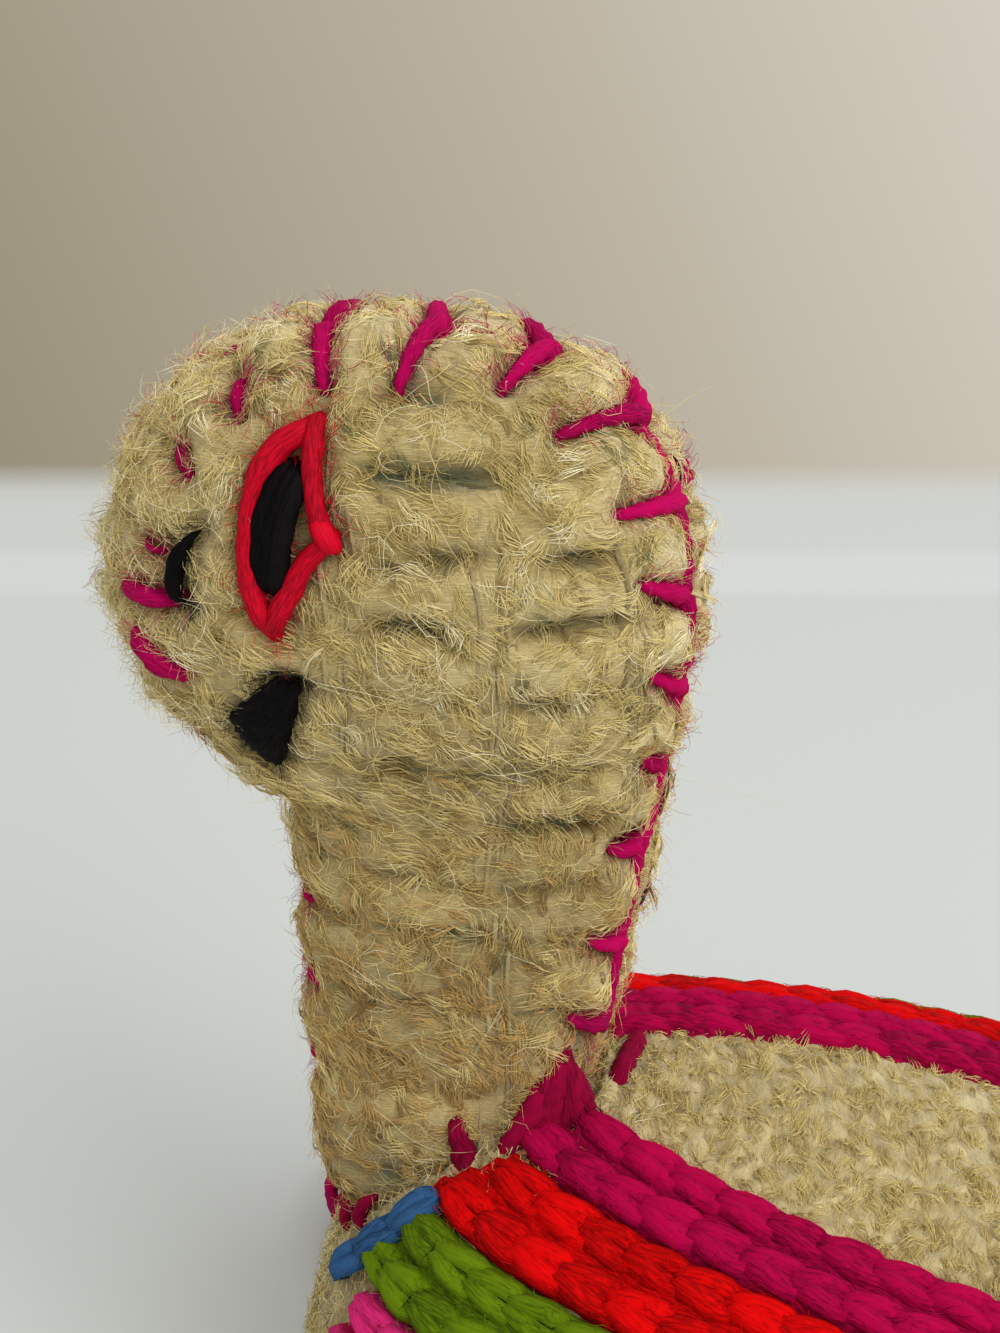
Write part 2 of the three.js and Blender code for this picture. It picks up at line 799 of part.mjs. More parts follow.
turtle.add(
  ...pair('head_panel', headPanel(), cream),
  piece('head_fill', headFill(), fill),
  piece('head_seam_yarn', headSeamYarn(), magenta),
  ...pair('eye_outline', eyeOutline(), eyeRed),
  ...pair('eye_centre', eyeCentre(), black),
  ...pair('nostril', nostril(), black),
  ...pair('mouth', mouth(), black),
);

const legHeight = leg.thickness / 2 + legLift;
for (const [side, sign] of [['left', 1], ['right', -1]]) {
  const frontAngle = sign * (Math.PI - radians(frontLegAngle));
  turtle.add(limbGroup(`leg_front_${side}`, leg, legHeight, frontAngle));
  turtle.add(limbGroup(`leg_rear_${side}`, leg, legHeight, sign * radians(rearLegAngle)));
}
turtle.add(limbGroup('tail', tail, tailHeight, 0));

export default turtle;
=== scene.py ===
# %% [markdown]
# # A hand-sewn wool turtle
# A toy of thick hand-woven wool: two cream panels make its head and neck, sewn edge to edge with
# magenta yarn, and rows of chain stitch in five colours cover the flanks of its domed shell. At this
# distance the wool itself is the picture: ribs as thick as a match, twisted yarn sunk into them and
# loose fibres over everything. So each piece is made in three layers: a draped cloth with the ribs
# as real relief, the yarn laid on it, and a coat of fibres combed over both.

# %% The frame
import json
import math

import bpy
import numpy as np
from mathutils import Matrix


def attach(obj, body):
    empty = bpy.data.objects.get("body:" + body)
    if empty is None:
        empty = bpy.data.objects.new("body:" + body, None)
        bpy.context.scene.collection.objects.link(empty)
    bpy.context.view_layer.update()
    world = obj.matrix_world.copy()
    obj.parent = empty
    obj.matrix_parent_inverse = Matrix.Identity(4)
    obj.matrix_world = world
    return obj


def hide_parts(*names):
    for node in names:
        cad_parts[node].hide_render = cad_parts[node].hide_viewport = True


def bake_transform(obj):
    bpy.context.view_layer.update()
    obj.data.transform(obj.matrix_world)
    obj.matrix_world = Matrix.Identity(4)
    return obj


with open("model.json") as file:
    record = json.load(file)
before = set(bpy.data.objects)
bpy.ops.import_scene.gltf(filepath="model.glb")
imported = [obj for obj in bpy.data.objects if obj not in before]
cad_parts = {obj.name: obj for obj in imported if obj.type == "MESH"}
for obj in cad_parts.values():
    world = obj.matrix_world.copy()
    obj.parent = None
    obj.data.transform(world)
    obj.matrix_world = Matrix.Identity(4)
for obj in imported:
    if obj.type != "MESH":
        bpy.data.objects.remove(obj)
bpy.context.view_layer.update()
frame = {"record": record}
joints = {joint["child"]: joint for joint in frame["record"]["behaviour"]["joints"]}

# %% [markdown]
# ## The turtle's form
# The pieces lie on the same ovals as the solids of the frame, so the sizes are repeated here in
# millimetres. A head or a shell is a stack of slightly squared ovals. `head_level` and `shell_level`
# say how far a point is outside the form, and their slope is the direction that faces out.

# %% Sizes in millimetres
# OVAL is the power of the squared ovals: 2 would make them plain ellipses.
OVAL = 2.4
RIM, CROWN = 14.0, 42.0
BODY_LENGTH, BODY_WIDTH, BELLY_INSET = 97.0, 72.0, 14.0
CROWN_FORWARD = BODY_LENGTH / 2 - 18.5
FLANK, REAR_SLOPE, REAR_ROUND = 1.7, 1.5, 0.87
NECK_FORWARD, HINGE = BODY_LENGTH / 2 - 10.3, CROWN - 4.5
NECK_DEPTH, NECK_WIDTH = 20.8, 15.5
THROAT_FORWARD, THROAT_DEPTH, THROAT_WIDTH = NECK_FORWARD - 3.2, 27.4, 18.0
MUZZLE, HEAD_FORWARD = HINGE + 41.5, NECK_FORWARD + 2.6
HEAD_LENGTH, HEAD_WIDTH, HEAD_RISE = 38.0, 23.0, 17.4
CHIN_DROP, CHIN_BLEND = 15.8, 1.6


def quarter(side, power):
    """Height of a quarter of an oval at a share of its reach."""
    return np.clip(1 - np.clip(side, 0, 1) ** power, 0, None) ** (1 / power)


def larger(a, b, blend):
    """The larger of two values, with a soft change from one to the other."""
    return (a + b + np.hypot(a - b, blend)) / 2


def lerp(a, b, share):
    """The value a share of the way from a to b."""
    return a + (b - a) * share


# %% Ovals of the head and the body
def head_oval(z):
    """Middle, half length and half width of the head's or neck's outline at a height."""
    over = z >= MUZZLE
    share = np.minimum(np.abs(z - MUZZLE) / np.where(over, HEAD_RISE, CHIN_DROP), 1)
    size = np.where(over, quarter(share, OVAL), quarter(share, 2))
    # The head: a rounded box that tapers to its top and to its chin
    front = HEAD_FORWARD + size * HEAD_LENGTH / 2
    back = size * HEAD_LENGTH / 2 - HEAD_FORWARD
    half = size * HEAD_WIDTH / 2
    # The neck: it widens from its hinge up to the throat, and the chin blends into it
    up = (z - HINGE) / (MUZZLE - HINGE)
    forward = lerp(NECK_FORWARD, THROAT_FORWARD, up)
    depth = lerp(NECK_DEPTH, THROAT_DEPTH, up)
    width = lerp(NECK_WIDTH, THROAT_WIDTH, up)
    blend = CHIN_BLEND * np.clip((MUZZLE - z) / CHIN_DROP, 0, 1)
    front = np.where(over, front, larger(front, forward + depth / 2, blend))
    back = np.where(over, back, larger(back, depth / 2 - forward, blend))
    half = np.where(over, half, larger(half, width / 2, blend))
    # The root: a round end below the hinge, inside the shell
    sunk = np.clip((HINGE - z) / (NECK_DEPTH / 2), 0, 0.98)
    root = z < HINGE
    reach = NECK_DEPTH / 2 * np.sqrt(1 - sunk**2)
    front = np.where(root, NECK_FORWARD + reach, front)
    back = np.where(root, reach - NECK_FORWARD, back)
    half = np.where(root, NECK_WIDTH / 2 * quarter(sunk, OVAL), half)
    return (back - front) / 2, (front + back) / 2, half


def body_oval(z):
    """The same for the shell above the rim and the belly below it."""
    rise = np.clip((z - RIM) / (CROWN - RIM), 0, 1)
    front = CROWN_FORWARD + quarter(rise, 2) * (BODY_LENGTH / 2 - CROWN_FORWARD)
    back = (1 - rise**REAR_SLOPE) ** REAR_ROUND * (BODY_LENGTH / 2 + CROWN_FORWARD) - CROWN_FORWARD
    half = quarter(rise, FLANK) * BODY_WIDTH / 2
    inset = BELLY_INSET * (1 - quarter(np.clip(1 - z / RIM, 0, 1), 2))
    return (back - front) / 2, (front + back) / 2 - inset, half - inset


def beyond(oval, p):
    """Under 1 where a point is inside an oval, over 1 outside it."""
    middle, length, width = oval
    across = (np.abs(p[..., 0]) / np.maximum(width, 1e-6)) ** OVAL
    along = (np.abs(p[..., 1] - middle) / np.maximum(length, 1e-6)) ** OVAL
    return across + along


def head_level(p):
    """How far a point is outside the head and neck."""
    z = p[..., 2]
    top = beyond((-HEAD_FORWARD, HEAD_LENGTH / 2, HEAD_WIDTH / 2), p)
    top = top + (np.clip(z - MUZZLE, 0, None) / HEAD_RISE) ** OVAL
    return np.where(z >= MUZZLE, top, beyond(head_oval(z), p)) ** (1 / OVAL) - 1


def shell_level(p):
    """How far a point is outside the shell's dome."""
    z = np.clip(p[..., 2], RIM, CROWN - 0.01)
    over = np.clip(p[..., 2] - CROWN + 0.01, 0, None)
    return beyond(body_oval(z), p) ** (1 / OVAL) - 1 + over


def body_level(p):
    """How far a point is outside the whole body, belly and all."""
    z = np.clip(p[..., 2], 0.01, CROWN - 0.01)
    return beyond(body_oval(z), p) ** (1 / OVAL) - 1


# %% Directions out of a form and places on it
NUDGE = 0.01


def unit(v):
    """Vectors brought to length 1."""
    return v / np.maximum(np.linalg.norm(v, axis=-1, keepdims=True), 1e-12)


def change(level, p):
    """How a level changes from one nudge before a point to one after it, along x, y and z."""
    return np.stack([level(p + d) - level(p - d) for d in np.eye(3) * NUDGE], -1)


def outward(level, p):
    """Directions that face out of a form."""
    return unit(change(level, p))


def settle(level, p):
    """The points of a form's surface beside the given ones."""
    p = np.array(p, float)
    for _ in range(8):
        slope = change(level, p) / (2 * NUDGE)
        p -= slope * (level(p) / np.maximum((slope**2).sum(-1), 1e-9))[..., None]
    return p


print("head top at", HEAD_RISE + MUZZLE, "mm, crown of the shell at", CROWN, "mm")

# %% [markdown]
# ## Tools of the trade
# Three things repeat over the whole toy: a cloth sheet draped over a form, a length of twisted yarn,
# and a coat of fibres. Each is a helper here. A sheet starts as Blender's own grid and its vertices
# are moved onto the form, so its first UV map stays flat and even: it is kept under the name OFBake.
# A second UV map, Weave, counts millimetres of cloth, and the patterns read that one.

# %% Random waves
TABLE = 67


def waver(u, v, size, seed):
    """Smooth random waves, from -1 to 1, of about a size in millimetres."""
    table = np.random.default_rng(seed).uniform(-1, 1, (TABLE, TABLE))
    x, y = np.asarray(u) / size + 31.7, np.asarray(v) / size + 17.3
    i, j = np.floor(x).astype(int), np.floor(y).astype(int)
    fx, fy = x - i, y - j
    fx, fy = fx * fx * (3 - 2 * fx), fy * fy * (3 - 2 * fy)

    def at(a, b):
        return table[a % TABLE, b % TABLE]

    low = lerp(at(i, j), at(i + 1, j), fx)
    high = lerp(at(i, j + 1), at(i + 1, j + 1), fx)
    return lerp(low, high, fy)


# %% Along lines and over grids
SIDES = ((1, "left"), (-1, "right"))


def far_along(line):
    """How far along a line each of its points lies."""
    return np.concatenate([[0], np.cumsum(np.linalg.norm(np.diff(line, axis=0), axis=1))])


def place_at(far, marks, line):
    """Places at distances along a line whose points lie at marks. It may be a line of directions."""
    return np.stack([np.interp(far, marks, line[:, k]) for k in range(3)], -1)


def smoothed(path, times):
    """A path with its inner points drawn towards their neighbours."""
    for _ in range(times):
        path[1:-1] = (path[:-2] + 2 * path[1:-1] + path[2:]) / 4
    return path


def cloth_run(points, axis):
    """Millimetres of cloth from a grid's first column (axis 1) or row (axis 0) to each point."""
    steps = np.diff(points, axis=axis, prepend=np.take(points, [0], axis))
    return np.cumsum(np.linalg.norm(steps, axis=-1), axis)


def cell_sizes(points):
    """Width and height of a grid's cells in millimetres."""
    return [np.linalg.norm(np.gradient(points, axis=axis), axis=-1) for axis in (1, 0)]


# %% A draped sheet
MM, MERGE = 0.001, 1e-6


def store(mesh, word, values):
    """Keep a number on every vertex, which a material reads by its word."""
    numbers = mesh.attributes.new(word, "FLOAT", "POINT").data
    numbers.foreach_set("value", np.asarray(values, np.float32).ravel())


def drape(name, points, u, v, shades, material, closed=False):
    """A cloth sheet: a grid with its rows and columns moved onto the form. points are in mm."""
    rows, columns = u.shape
    bpy.ops.object.select_all(action="DESELECT")
    bpy.ops.mesh.primitive_grid_add(x_subdivisions=columns - 1, y_subdivisions=rows - 1, size=1)
    piece = bpy.context.object
    piece.name = piece.data.name = name
    mesh = piece.data
    mesh.vertices.foreach_set("co", (points * MM).astype(np.float32).ravel())
    mesh.uv_layers[0].name = "OFBake"
    corners = np.empty(len(mesh.loops), int)
    mesh.loops.foreach_get("vertex_index", corners)
    weave_uv = mesh.uv_layers.new(name="Weave")
    flat = np.stack([u.ravel(), v.ravel()], -1)[corners]
    weave_uv.data.foreach_set("uv", flat.astype(np.float32).ravel())
    for word, values in shades.items():
        store(mesh, word, values)
    mesh.update()
    if closed:
        bpy.ops.object.mode_set(mode="EDIT")
        bpy.ops.mesh.select_all(action="SELECT")
        bpy.ops.mesh.remove_doubles(threshold=MERGE)
        bpy.ops.object.mode_set(mode="OBJECT")
    bpy.ops.object.shade_smooth()
    mesh.materials.append(material)
    return piece


def trim(piece, gone):
    """Cut away a sheet's vertices where a mask is true."""
    mesh = piece.data
    bpy.context.view_layer.objects.active = piece
    mesh.polygons.foreach_set("select", np.zeros(len(mesh.polygons), bool))
    mesh.edges.foreach_set("select", np.zeros(len(mesh.edges), bool))
    mesh.vertices.foreach_set("select", gone.ravel())
    bpy.ops.object.mode_set(mode="EDIT")
    bpy.ops.mesh.delete(type="VERT")
    bpy.ops.object.mode_set(mode="OBJECT")


# %% Meshes from arrays
def build(name, points, quads, triangles, materials, uv=None, faces_material=None, tint=None):
    """A mesh from arrays of points in mm and of four and three sided faces."""
    mesh = bpy.data.meshes.new(name)
    sides = np.concatenate([np.full(len(quads), 4), np.full(len(triangles), 3)])
    corners = np.concatenate([np.ravel(quads), np.ravel(triangles)]).astype(np.int32)
    mesh.vertices.add(len(points))
    mesh.vertices.foreach_set("co", (points * MM).astype(np.float32).ravel())
    mesh.loops.add(len(corners))
    mesh.loops.foreach_set("vertex_index", corners)
    mesh.polygons.add(len(sides))
    starts = np.concatenate([[0], np.cumsum(sides)[:-1]])
    mesh.polygons.foreach_set("loop_start", starts.astype(np.int32))
    mesh.update(calc_edges=True)
    mesh.polygons.foreach_set("use_smooth", np.ones(len(sides), bool))
    if faces_material is not None:
        mesh.polygons.foreach_set("material_index", faces_material.astype(np.int32))
    if uv is not None:
        layer = mesh.uv_layers.new(name="Weave")
        layer.data.foreach_set("uv", uv[corners].astype(np.float32).ravel())
    if tint is not None:
        store(mesh, "tint", tint)
    for material in materials:
        mesh.materials.append(material)
    piece = bpy.data.objects.new(name, mesh)
    bpy.context.scene.collection.objects.link(piece)
    return piece


# %% Twisted yarn
def tube(path, up, radius, sides=10, plies=3, turn=4.5, phase=0.0, ends=0.35, deep=0.13):
    """Points, faces and UV of a length of plied yarn along a path, closed at both ends.

    radius is one value, or several for yarn that is pulled thin in places.
    """
    path, up = np.asarray(path, float), np.asarray(up, float)
    along = unit(np.gradient(path, axis=0))
    side = unit(np.cross(up, along))
    rise = np.cross(along, side)
    length = far_along(path)
    # Rings round the path swell with the plies and narrow at both ends.
    angle = np.arange(sides) * 2 * np.pi / sides
    ply = 1 + deep * np.cos(plies * (angle[None] - 2 * np.pi * length[:, None] / turn) + phase)
    marks = np.linspace(0, 1, np.size(radius))
    radius = np.interp(np.linspace(0, 1, len(path)), marks, np.ravel(radius))
    near_end = np.minimum(length, length[-1] - length) / radius.mean()
    taper = ends + (1 - ends) * np.clip(near_end, 0, 1) ** 0.5
    size = (radius * taper)[:, None] * ply
    ring = (path[:, None] + side[:, None] * (np.cos(angle) * size)[..., None]
            + rise[:, None] * (np.sin(angle) * size)[..., None])
    # Four-sided faces join the rings, and a fan of triangles closes each end.
    count = len(path)
    points = np.concatenate([ring.reshape(-1, 3), path[:1], path[-1:]])
    a = np.arange(count - 1)[:, None] * sides + np.arange(sides)
    b = np.arange(count - 1)[:, None] * sides + (np.arange(sides) + 1) % sides
    quads = np.stack([a, b, b + sides, a + sides], -1).reshape(-1, 4)
    turns = np.arange(sides)
    last, tip = (count - 1) * sides, np.full(sides, count * sides)
    first = np.stack([(turns + 1) % sides, turns, tip], -1)
    final = np.stack([last + turns, last + (turns + 1) % sides, tip + 1], -1)
    # The UV counts mm along the yarn. Round it, it goes up and back down, so it has no seam.
    around = np.abs(angle / np.pi - 1)
    uv = np.stack([np.repeat(length, sides), np.tile(around, count) * 3], -1)
    uv = np.concatenate([uv, [[0, 0], [length[-1], 0]]])
    return points, quads, np.concatenate([first, final]), uv


def yarns(name, lengths, material, seed=0, **how):
    """One piece of several lengths of yarn, each a path with its up directions and radius."""
    rng = np.random.default_rng(seed)
    points, quads, triangles, uv, tint = [], [], [], [], []
    total = 0
    for path, up, radius in lengths:
        p, q, t, w = tube(path, up, radius, phase=rng.uniform(0, 6), **how)
        points.append(p)
        quads.append(q + total)
        triangles.append(t + total)
        uv.append(w + rng.uniform(0, 40, 2) * [1, 0])
        tint.append(np.full(len(p), rng.uniform(-1, 1)))
        total += len(p)
    return build(name, np.concatenate(points), np.concatenate(quads), np.concatenate(triangles),
                 [material], np.concatenate(uv), tint=np.concatenate(tint))


# %% Where fibres may root
def between(field, j, i):
    """A field of a grid at places between its rows j and columns i."""
    j = np.clip(j, 0, field.shape[0] - 1.001)
    i = np.clip(i, 0, field.shape[1] - 1.001)
    a, b = j.astype(int), i.astype(int)
    fj, fi = j - a, i - b
    if field.ndim == 3:
        fj, fi = fj[..., None], fi[..., None]
    return ((field[a, b] * (1 - fj) + field[a + 1, b] * fj) * (1 - fi)
            + (field[a, b + 1] * (1 - fj) + field[a + 1, b + 1] * fj) * fi)


def guide(points, out, density=None, loft=None):
    """What fibres need to know of a sheet: its places, outward directions, cell sizes and loft."""
    across, upward = cell_sizes(points)
    weight = across * upward * (1 if density is None else density)
    return {"points": points, "out": out, "across": across, "upward": upward, "weight": weight,
            "loft": np.ones(across.shape) if loft is None else loft}


# %% A coat of fibres
ROOT_DEPTH = 0.12


def comb(sheet, count, length, heading, spread, seed, steps=4, lift=(0.05, 0.5), curl=0.5,
         hump=0.1, sway=0.0):
    """Paths of fibres that lie along a heading over a sheet. heading may be a field in radians."""
    rng = np.random.default_rng(seed)
    # Roots fall in the sheet's cells, more of them where it has more weight.
    share = np.cumsum(sheet["weight"][:-1, :-1].ravel())
    cell = np.searchsorted(share, rng.uniform(0, share[-1], count))
    cell = np.minimum(cell, len(share) - 1)
    columns = sheet["weight"].shape[1] - 1
    j = cell // columns + rng.uniform(0, 1, count)
    i = cell % columns + rng.uniform(0, 1, count)
    root = j, i
    if np.ndim(heading):
        heading = between(heading, j, i)
    # Each fibre has its own direction, bend, length and height.
    angle = heading + rng.normal(0, spread, count) + np.pi * rng.integers(0, 2, count)
    bend = rng.normal(0, curl, count)
    swing, phase = rng.uniform(0, sway, count), rng.uniform(0, 2 * np.pi, count)
    size = rng.uniform(*length, count)
    top = rng.uniform(*lift, count) * between(sheet["loft"], j, i)
    bow = rng.uniform(0, hump, count)
    across = np.maximum(between(sheet["across"], j, i), 0.05)
    upward = np.maximum(between(sheet["upward"], j, i), 0.05)
    paths, ups = [], []
    last = sheet["across"].shape[1] - 1
    # It walks over the sheet stride by stride, and goes straight on past the sheet's edge.
    for step in range(steps):
        t = step / (steps - 1)
        place = between(sheet["points"], j, i)
        out = between(sheet["out"], j, i)
        inside = np.clip(i, 1, last)
        beside = between(sheet["points"], j, inside) - between(sheet["points"], j, inside - 1)
        place = place + beside * (i - np.clip(i, 0, last))[:, None]
        rooted = ROOT_DEPTH * min(3 * t, 1)
        height = -ROOT_DEPTH + top * t**1.6 + bow * np.sin(np.pi * t) + rooted
        paths.append(place + out * height[:, None])
        ups.append(out)
        stride = size / (steps - 1)
        turned = angle + swing * np.sin(4.5 * t + phase)
        i = i + np.cos(turned) * stride / across
        j = j + np.sin(turned) * stride / upward
        angle = angle + bend * stride
    return np.stack(paths, 1), np.stack(ups, 1), root


def locks(sheet, count, each, length, heading, spread, seed, wide=0.42, deep=0.12, **how):
    """Fibres in locks, as wool lies: those of one lock run together along one combed path."""
    rng = np.random.default_rng(seed + 1000)
    paths, ups, root = comb(sheet, count, length, heading, spread, seed, **how)
    along = unit(np.gradient(paths, axis=1))
    side = np.cross(ups, along)
    paths, ups, along, side = (np.repeat(part, each, 0) for part in (paths, ups, along, side))
    t = np.linspace(0, 1, paths.shape[1])[None, :, None]

    def some(low, high):
        return rng.uniform(low, high, (count * each, 1, 1))

    aside = rng.normal(0, wide, (count * each, 1, 1)) * (0.5 + 0.5 * np.sin(np.pi * t))
    wave = some(-0.16, 0.16) * np.sin(6.3 * t * some(0.6, 1.4) + some(0, 6.3))
    paths = paths + side * (aside + wave) + ups * some(0, deep) + along * some(-0.5, 0.5)
    return paths, ups, root


def fibres(name, paths, ups, width, tone, materials, seed=0):
    """A piece of closed three-sided fibres that taper to their tips, each of a material by its tone."""
    rng = np.random.default_rng(seed)
    count, steps = paths.shape[:2]
    along = unit(np.gradient(paths, axis=1))
    side = unit(np.cross(ups, along))
    rise = np.cross(along, side)
    # Three points round each step but the last, which is the tip
    radius = rng.uniform(*width, count)[:, None] / 2 * np.linspace(1, 0.55, steps)[None]
    rings = []
    for corner in range(3):
        turn = corner * 2 * np.pi / 3 + np.pi / 2
        rings.append(paths + (side * math.cos(turn) + rise * math.sin(turn)) * radius[..., None])
    rings = np.stack(rings, 2)[:, :-1].reshape(count, -1, 3)
    points = np.concatenate([rings, paths[:, -1:]], 1)
    each = points.shape[1]
    quads = []
    for step in range(steps - 2):
        for corner in range(3):
            a, b = 3 * step + corner, 3 * step + (corner + 1) % 3
            quads.append((a, b, b + 3, a + 3))
    last, tip = 3 * (steps - 2), each - 1
    triangles = [(last, last + 1, tip), (last + 1, last + 2, tip), (last + 2, last, tip), (2, 1, 0)]
    start = (np.arange(count) * each)[:, None, None]
    quads = np.array(quads, int).reshape(-1, 4)[None] + start
    triangles = np.array(triangles)[None] + start
    tone = np.clip(np.floor(tone), 0, len(materials) - 1)
    slots = np.concatenate([np.repeat(tone, quads.shape[1]), np.repeat(tone, triangles.shape[1])])
    return build(name, points.reshape(-1, 3), quads.reshape(-1, 4), triangles.reshape(-1, 3),
                 materials, faces_material=slots)


print("helpers ready")

# %% [markdown]
# ## Wool
# The cream wool's shades here are painted light and shade, read from the relief: yellow on the
# crests of the ribs as painted light, tan where they turn away and a green grey in the holes of the
# weave as painted shade. The cloth material reads the relief that the drape stores on each vertex,
# and lays streaks of fibre over it along the ribs. Dyed yarn is plainer: a saturated colour, darker
# between its plies.

# %% Colours
def wool(red, green, blue):
    """A colour as seen on a screen, from 0 to 255, as Blender's linear colour."""
    parts = [c / 255 for c in (red, green, blue)]
    return [p / 12.92 if p <= 0.04045 else ((p + 0.055) / 1.055) ** 2.4 for p in parts] + [1.0]


# The second magenta is darkened as painted shade, for the yarn at the neck's root.
MAGENTA, SHADED_MAGENTA, BAND_MAGENTA = wool(171, 2, 78), wool(134, 3, 48), wool(160, 1, 60)
RED, EYE_RED = wool(204, 2, 3), wool(192, 2, 34)
GREEN, PINK, BLUE, BLACK = wool(90, 116, 8), wool(200, 38, 106), wool(46, 84, 126), wool(8, 6, 7)


def dimmed(colour, factor):
    """A colour made darker or lighter."""
    return [min(c * factor, 1) for c in colour[:3]] + [1.0]


# %% Nodes
def linked(tree, kind, **sockets):
    """A new node with its inputs, by name or as _number, linked to outputs or set to values."""
    node = tree.nodes.new(kind)
    for word, value in sockets.items():
        key = int(word[1:]) if word[0] == "_" else word.replace("_", " ")
        socket = node.inputs[key]
        if isinstance(value, bpy.types.NodeSocket):
            tree.links.new(value, socket)
        else:
            socket.default_value = value
    return node


def ramp(tree, value, *stops):
    """A colour for a value, from stops that are each a place and its colour."""
    node = linked(tree, "ShaderNodeValToRGB", Fac=value)
    marks = node.color_ramp.elements
    while len(marks) < len(stops):
        marks.new(0.5)
    for mark, (place, colour) in zip(marks, stops):
        mark.position, mark.color = place, colour
    return node.outputs["Color"]


def maths(tree, operation, a, b, c=0.5, clamp=False):
    """The result of a Math node. Only MULTIPLY_ADD uses c."""
    node = linked(tree, "ShaderNodeMath", _0=a, _1=b, _2=c)
    node.operation, node.use_clamp = operation, clamp
    return node.outputs[0]


def weave_map(tree):
    """Millimetres of cloth or yarn, from the piece's second UV map."""
    node = tree.nodes.new("ShaderNodeUVMap")
    node.uv_map = "Weave"
    return node.outputs["UV"]


def stored(tree, word):
    """The number that the piece keeps on its vertices under a word."""
    node = tree.nodes.new("ShaderNodeAttribute")
    node.attribute_name = word
    return node.outputs["Fac"]


def drawn_hairs(tree, streak, turn=0.0, **noise):
    """Noise drawn out into hairs along the wool."""
    stretch = linked(tree, "ShaderNodeMapping", Vector=weave_map(tree), Scale=(*streak, 1),
                     Rotation=(0, 0, turn))
    return linked(tree, "ShaderNodeTexNoise", Vector=stretch.outputs[0], Scale=1.0, Detail=4.0,
                  **noise).outputs["Fac"]


def finish_wool(tree, skin, colour, hairs, strength, distance):
    """Give a material its colour, and its hairs as bump."""
    tree.links.new(colour, skin.inputs["Base Color"])
    bump = linked(tree, "ShaderNodeBump", Height=hairs, Strength=strength, Distance=distance)
    tree.links.new(bump.outputs[0], skin.inputs["Normal"])


def blank(name, roughness=0.95, sheen=0.25):
    """A new plain material, its nodes and its Principled BSDF."""
    material = bpy.data.materials.new(name)
    material.use_nodes = True
    skin = material.node_tree.nodes["Principled BSDF"]
    skin.inputs["Roughness"].default_value = roughness
    skin.inputs["Specular IOR Level"].default_value = 0.2
    skin.inputs["Sheen Weight"].default_value = sheen
    skin.inputs["Sheen Roughness"].default_value = 0.5
    return material, material.node_tree, skin


# %% Woven cream cloth
def cream_cloth(name, deep, shade, middle, light, streak=(1.3, 7.5)):
    """Cloth coloured by the relief and tint of its vertices, with hairs drawn over it."""
    material, tree, skin = blank(name)
    hairs = drawn_hairs(tree, streak, Roughness=0.6, Distortion=0.6)
    clumps = linked(tree, "ShaderNodeTexNoise", Vector=weave_map(tree), Scale=0.5, Detail=3.0)
    grain = maths(tree, "MULTIPLY_ADD", hairs, 0.8, -0.36)
    soft = maths(tree, "MULTIPLY_ADD", clumps.outputs["Fac"], 0.3, -0.15)
    tone = maths(tree, "ADD", maths(tree, "ADD", grain, soft), stored(tree, "relief"))
    tone = maths(tree, "ADD", tone, maths(tree, "MULTIPLY", stored(tree, "tint"), 0.16), clamp=True)
    # From deep to light, the stops run from painted shade in the holes to painted light on the crests.
    colour = ramp(tree, tone, (0.05, deep), (0.32, shade), (0.62, middle), (0.95, light))
    finish_wool(tree, skin, colour, hairs, 0.8, 0.0005)
    return material


# Each cloth's colours run from the painted shade of its holes to the painted light of its crests.
thick_cloth = cream_cloth("thick cream wool", wool(106, 110, 76), wool(152, 134, 84),
                          wool(194, 172, 112), wool(218, 200, 144))
shell_cloth = cream_cloth("fine cream wool", wool(108, 100, 62), wool(152, 136, 88),
                          wool(184, 166, 116), wool(206, 190, 142), streak=(3.0, 1.2))
thin_yarn = cream_cloth("thin cream yarn", wool(140, 122, 76), wool(170, 148, 94),
                        wool(204, 182, 120), wool(226, 208, 152), streak=(1.2, 6.0))


# %% Dyed yarn
def yarn_wool(name, colour, dark=0.5, light=1.2, roughness=0.95, sheen=0.04):
    """Dyed yarn: darker and lighter hairs of one colour, which run aslant round it."""
    material, tree, skin = blank(name, roughness, sheen)
    skin.inputs["Sheen Tint"].default_value = colour
    skin.inputs["Specular IOR Level"].default_value = 0.08
    hairs = drawn_hairs(tree, (1.2, 6.0), 0.5)
    tone = maths(tree, "MULTIPLY_ADD", stored(tree, "tint"), 0.14, hairs)
    shades = ramp(tree, tone, (0.3, dimmed(colour, dark)), (0.5, dimmed(colour, 1.0)),
                  (0.72, dimmed(colour, light)))
    finish_wool(tree, skin, shades, hairs, 0.5, 0.0002)
    return material


magenta_yarn = yarn_wool("magenta yarn", MAGENTA)
shaded_magenta_yarn = yarn_wool("shaded magenta yarn", SHADED_MAGENTA)
band_magenta_yarn = yarn_wool("magenta embroidery yarn", BAND_MAGENTA)
red_yarn = yarn_wool("red yarn", RED)
green_yarn = yarn_wool("olive yarn", GREEN)
pink_yarn = yarn_wool("pink yarn", PINK)
blue_yarn = yarn_wool("blue yarn", BLUE)
eye_yarn = yarn_wool("smooth red yarn", EYE_RED, roughness=0.6)
black_yarn = yarn_wool("smooth black yarn", BLACK, light=2.5, roughness=0.7, sheen=0.0)


# %% Single fibres
def fibre_wool(name, colour, sheen=0.1):
    """One fibre's wool, of one plain colour."""
    material, _, skin = blank(name, 0.85, sheen)
    skin.inputs["Sheen Tint"].default_value = colour
    skin.inputs["Specular IOR Level"].default_value = 0.1
    skin.inputs["Base Color"].default_value = colour
    return material
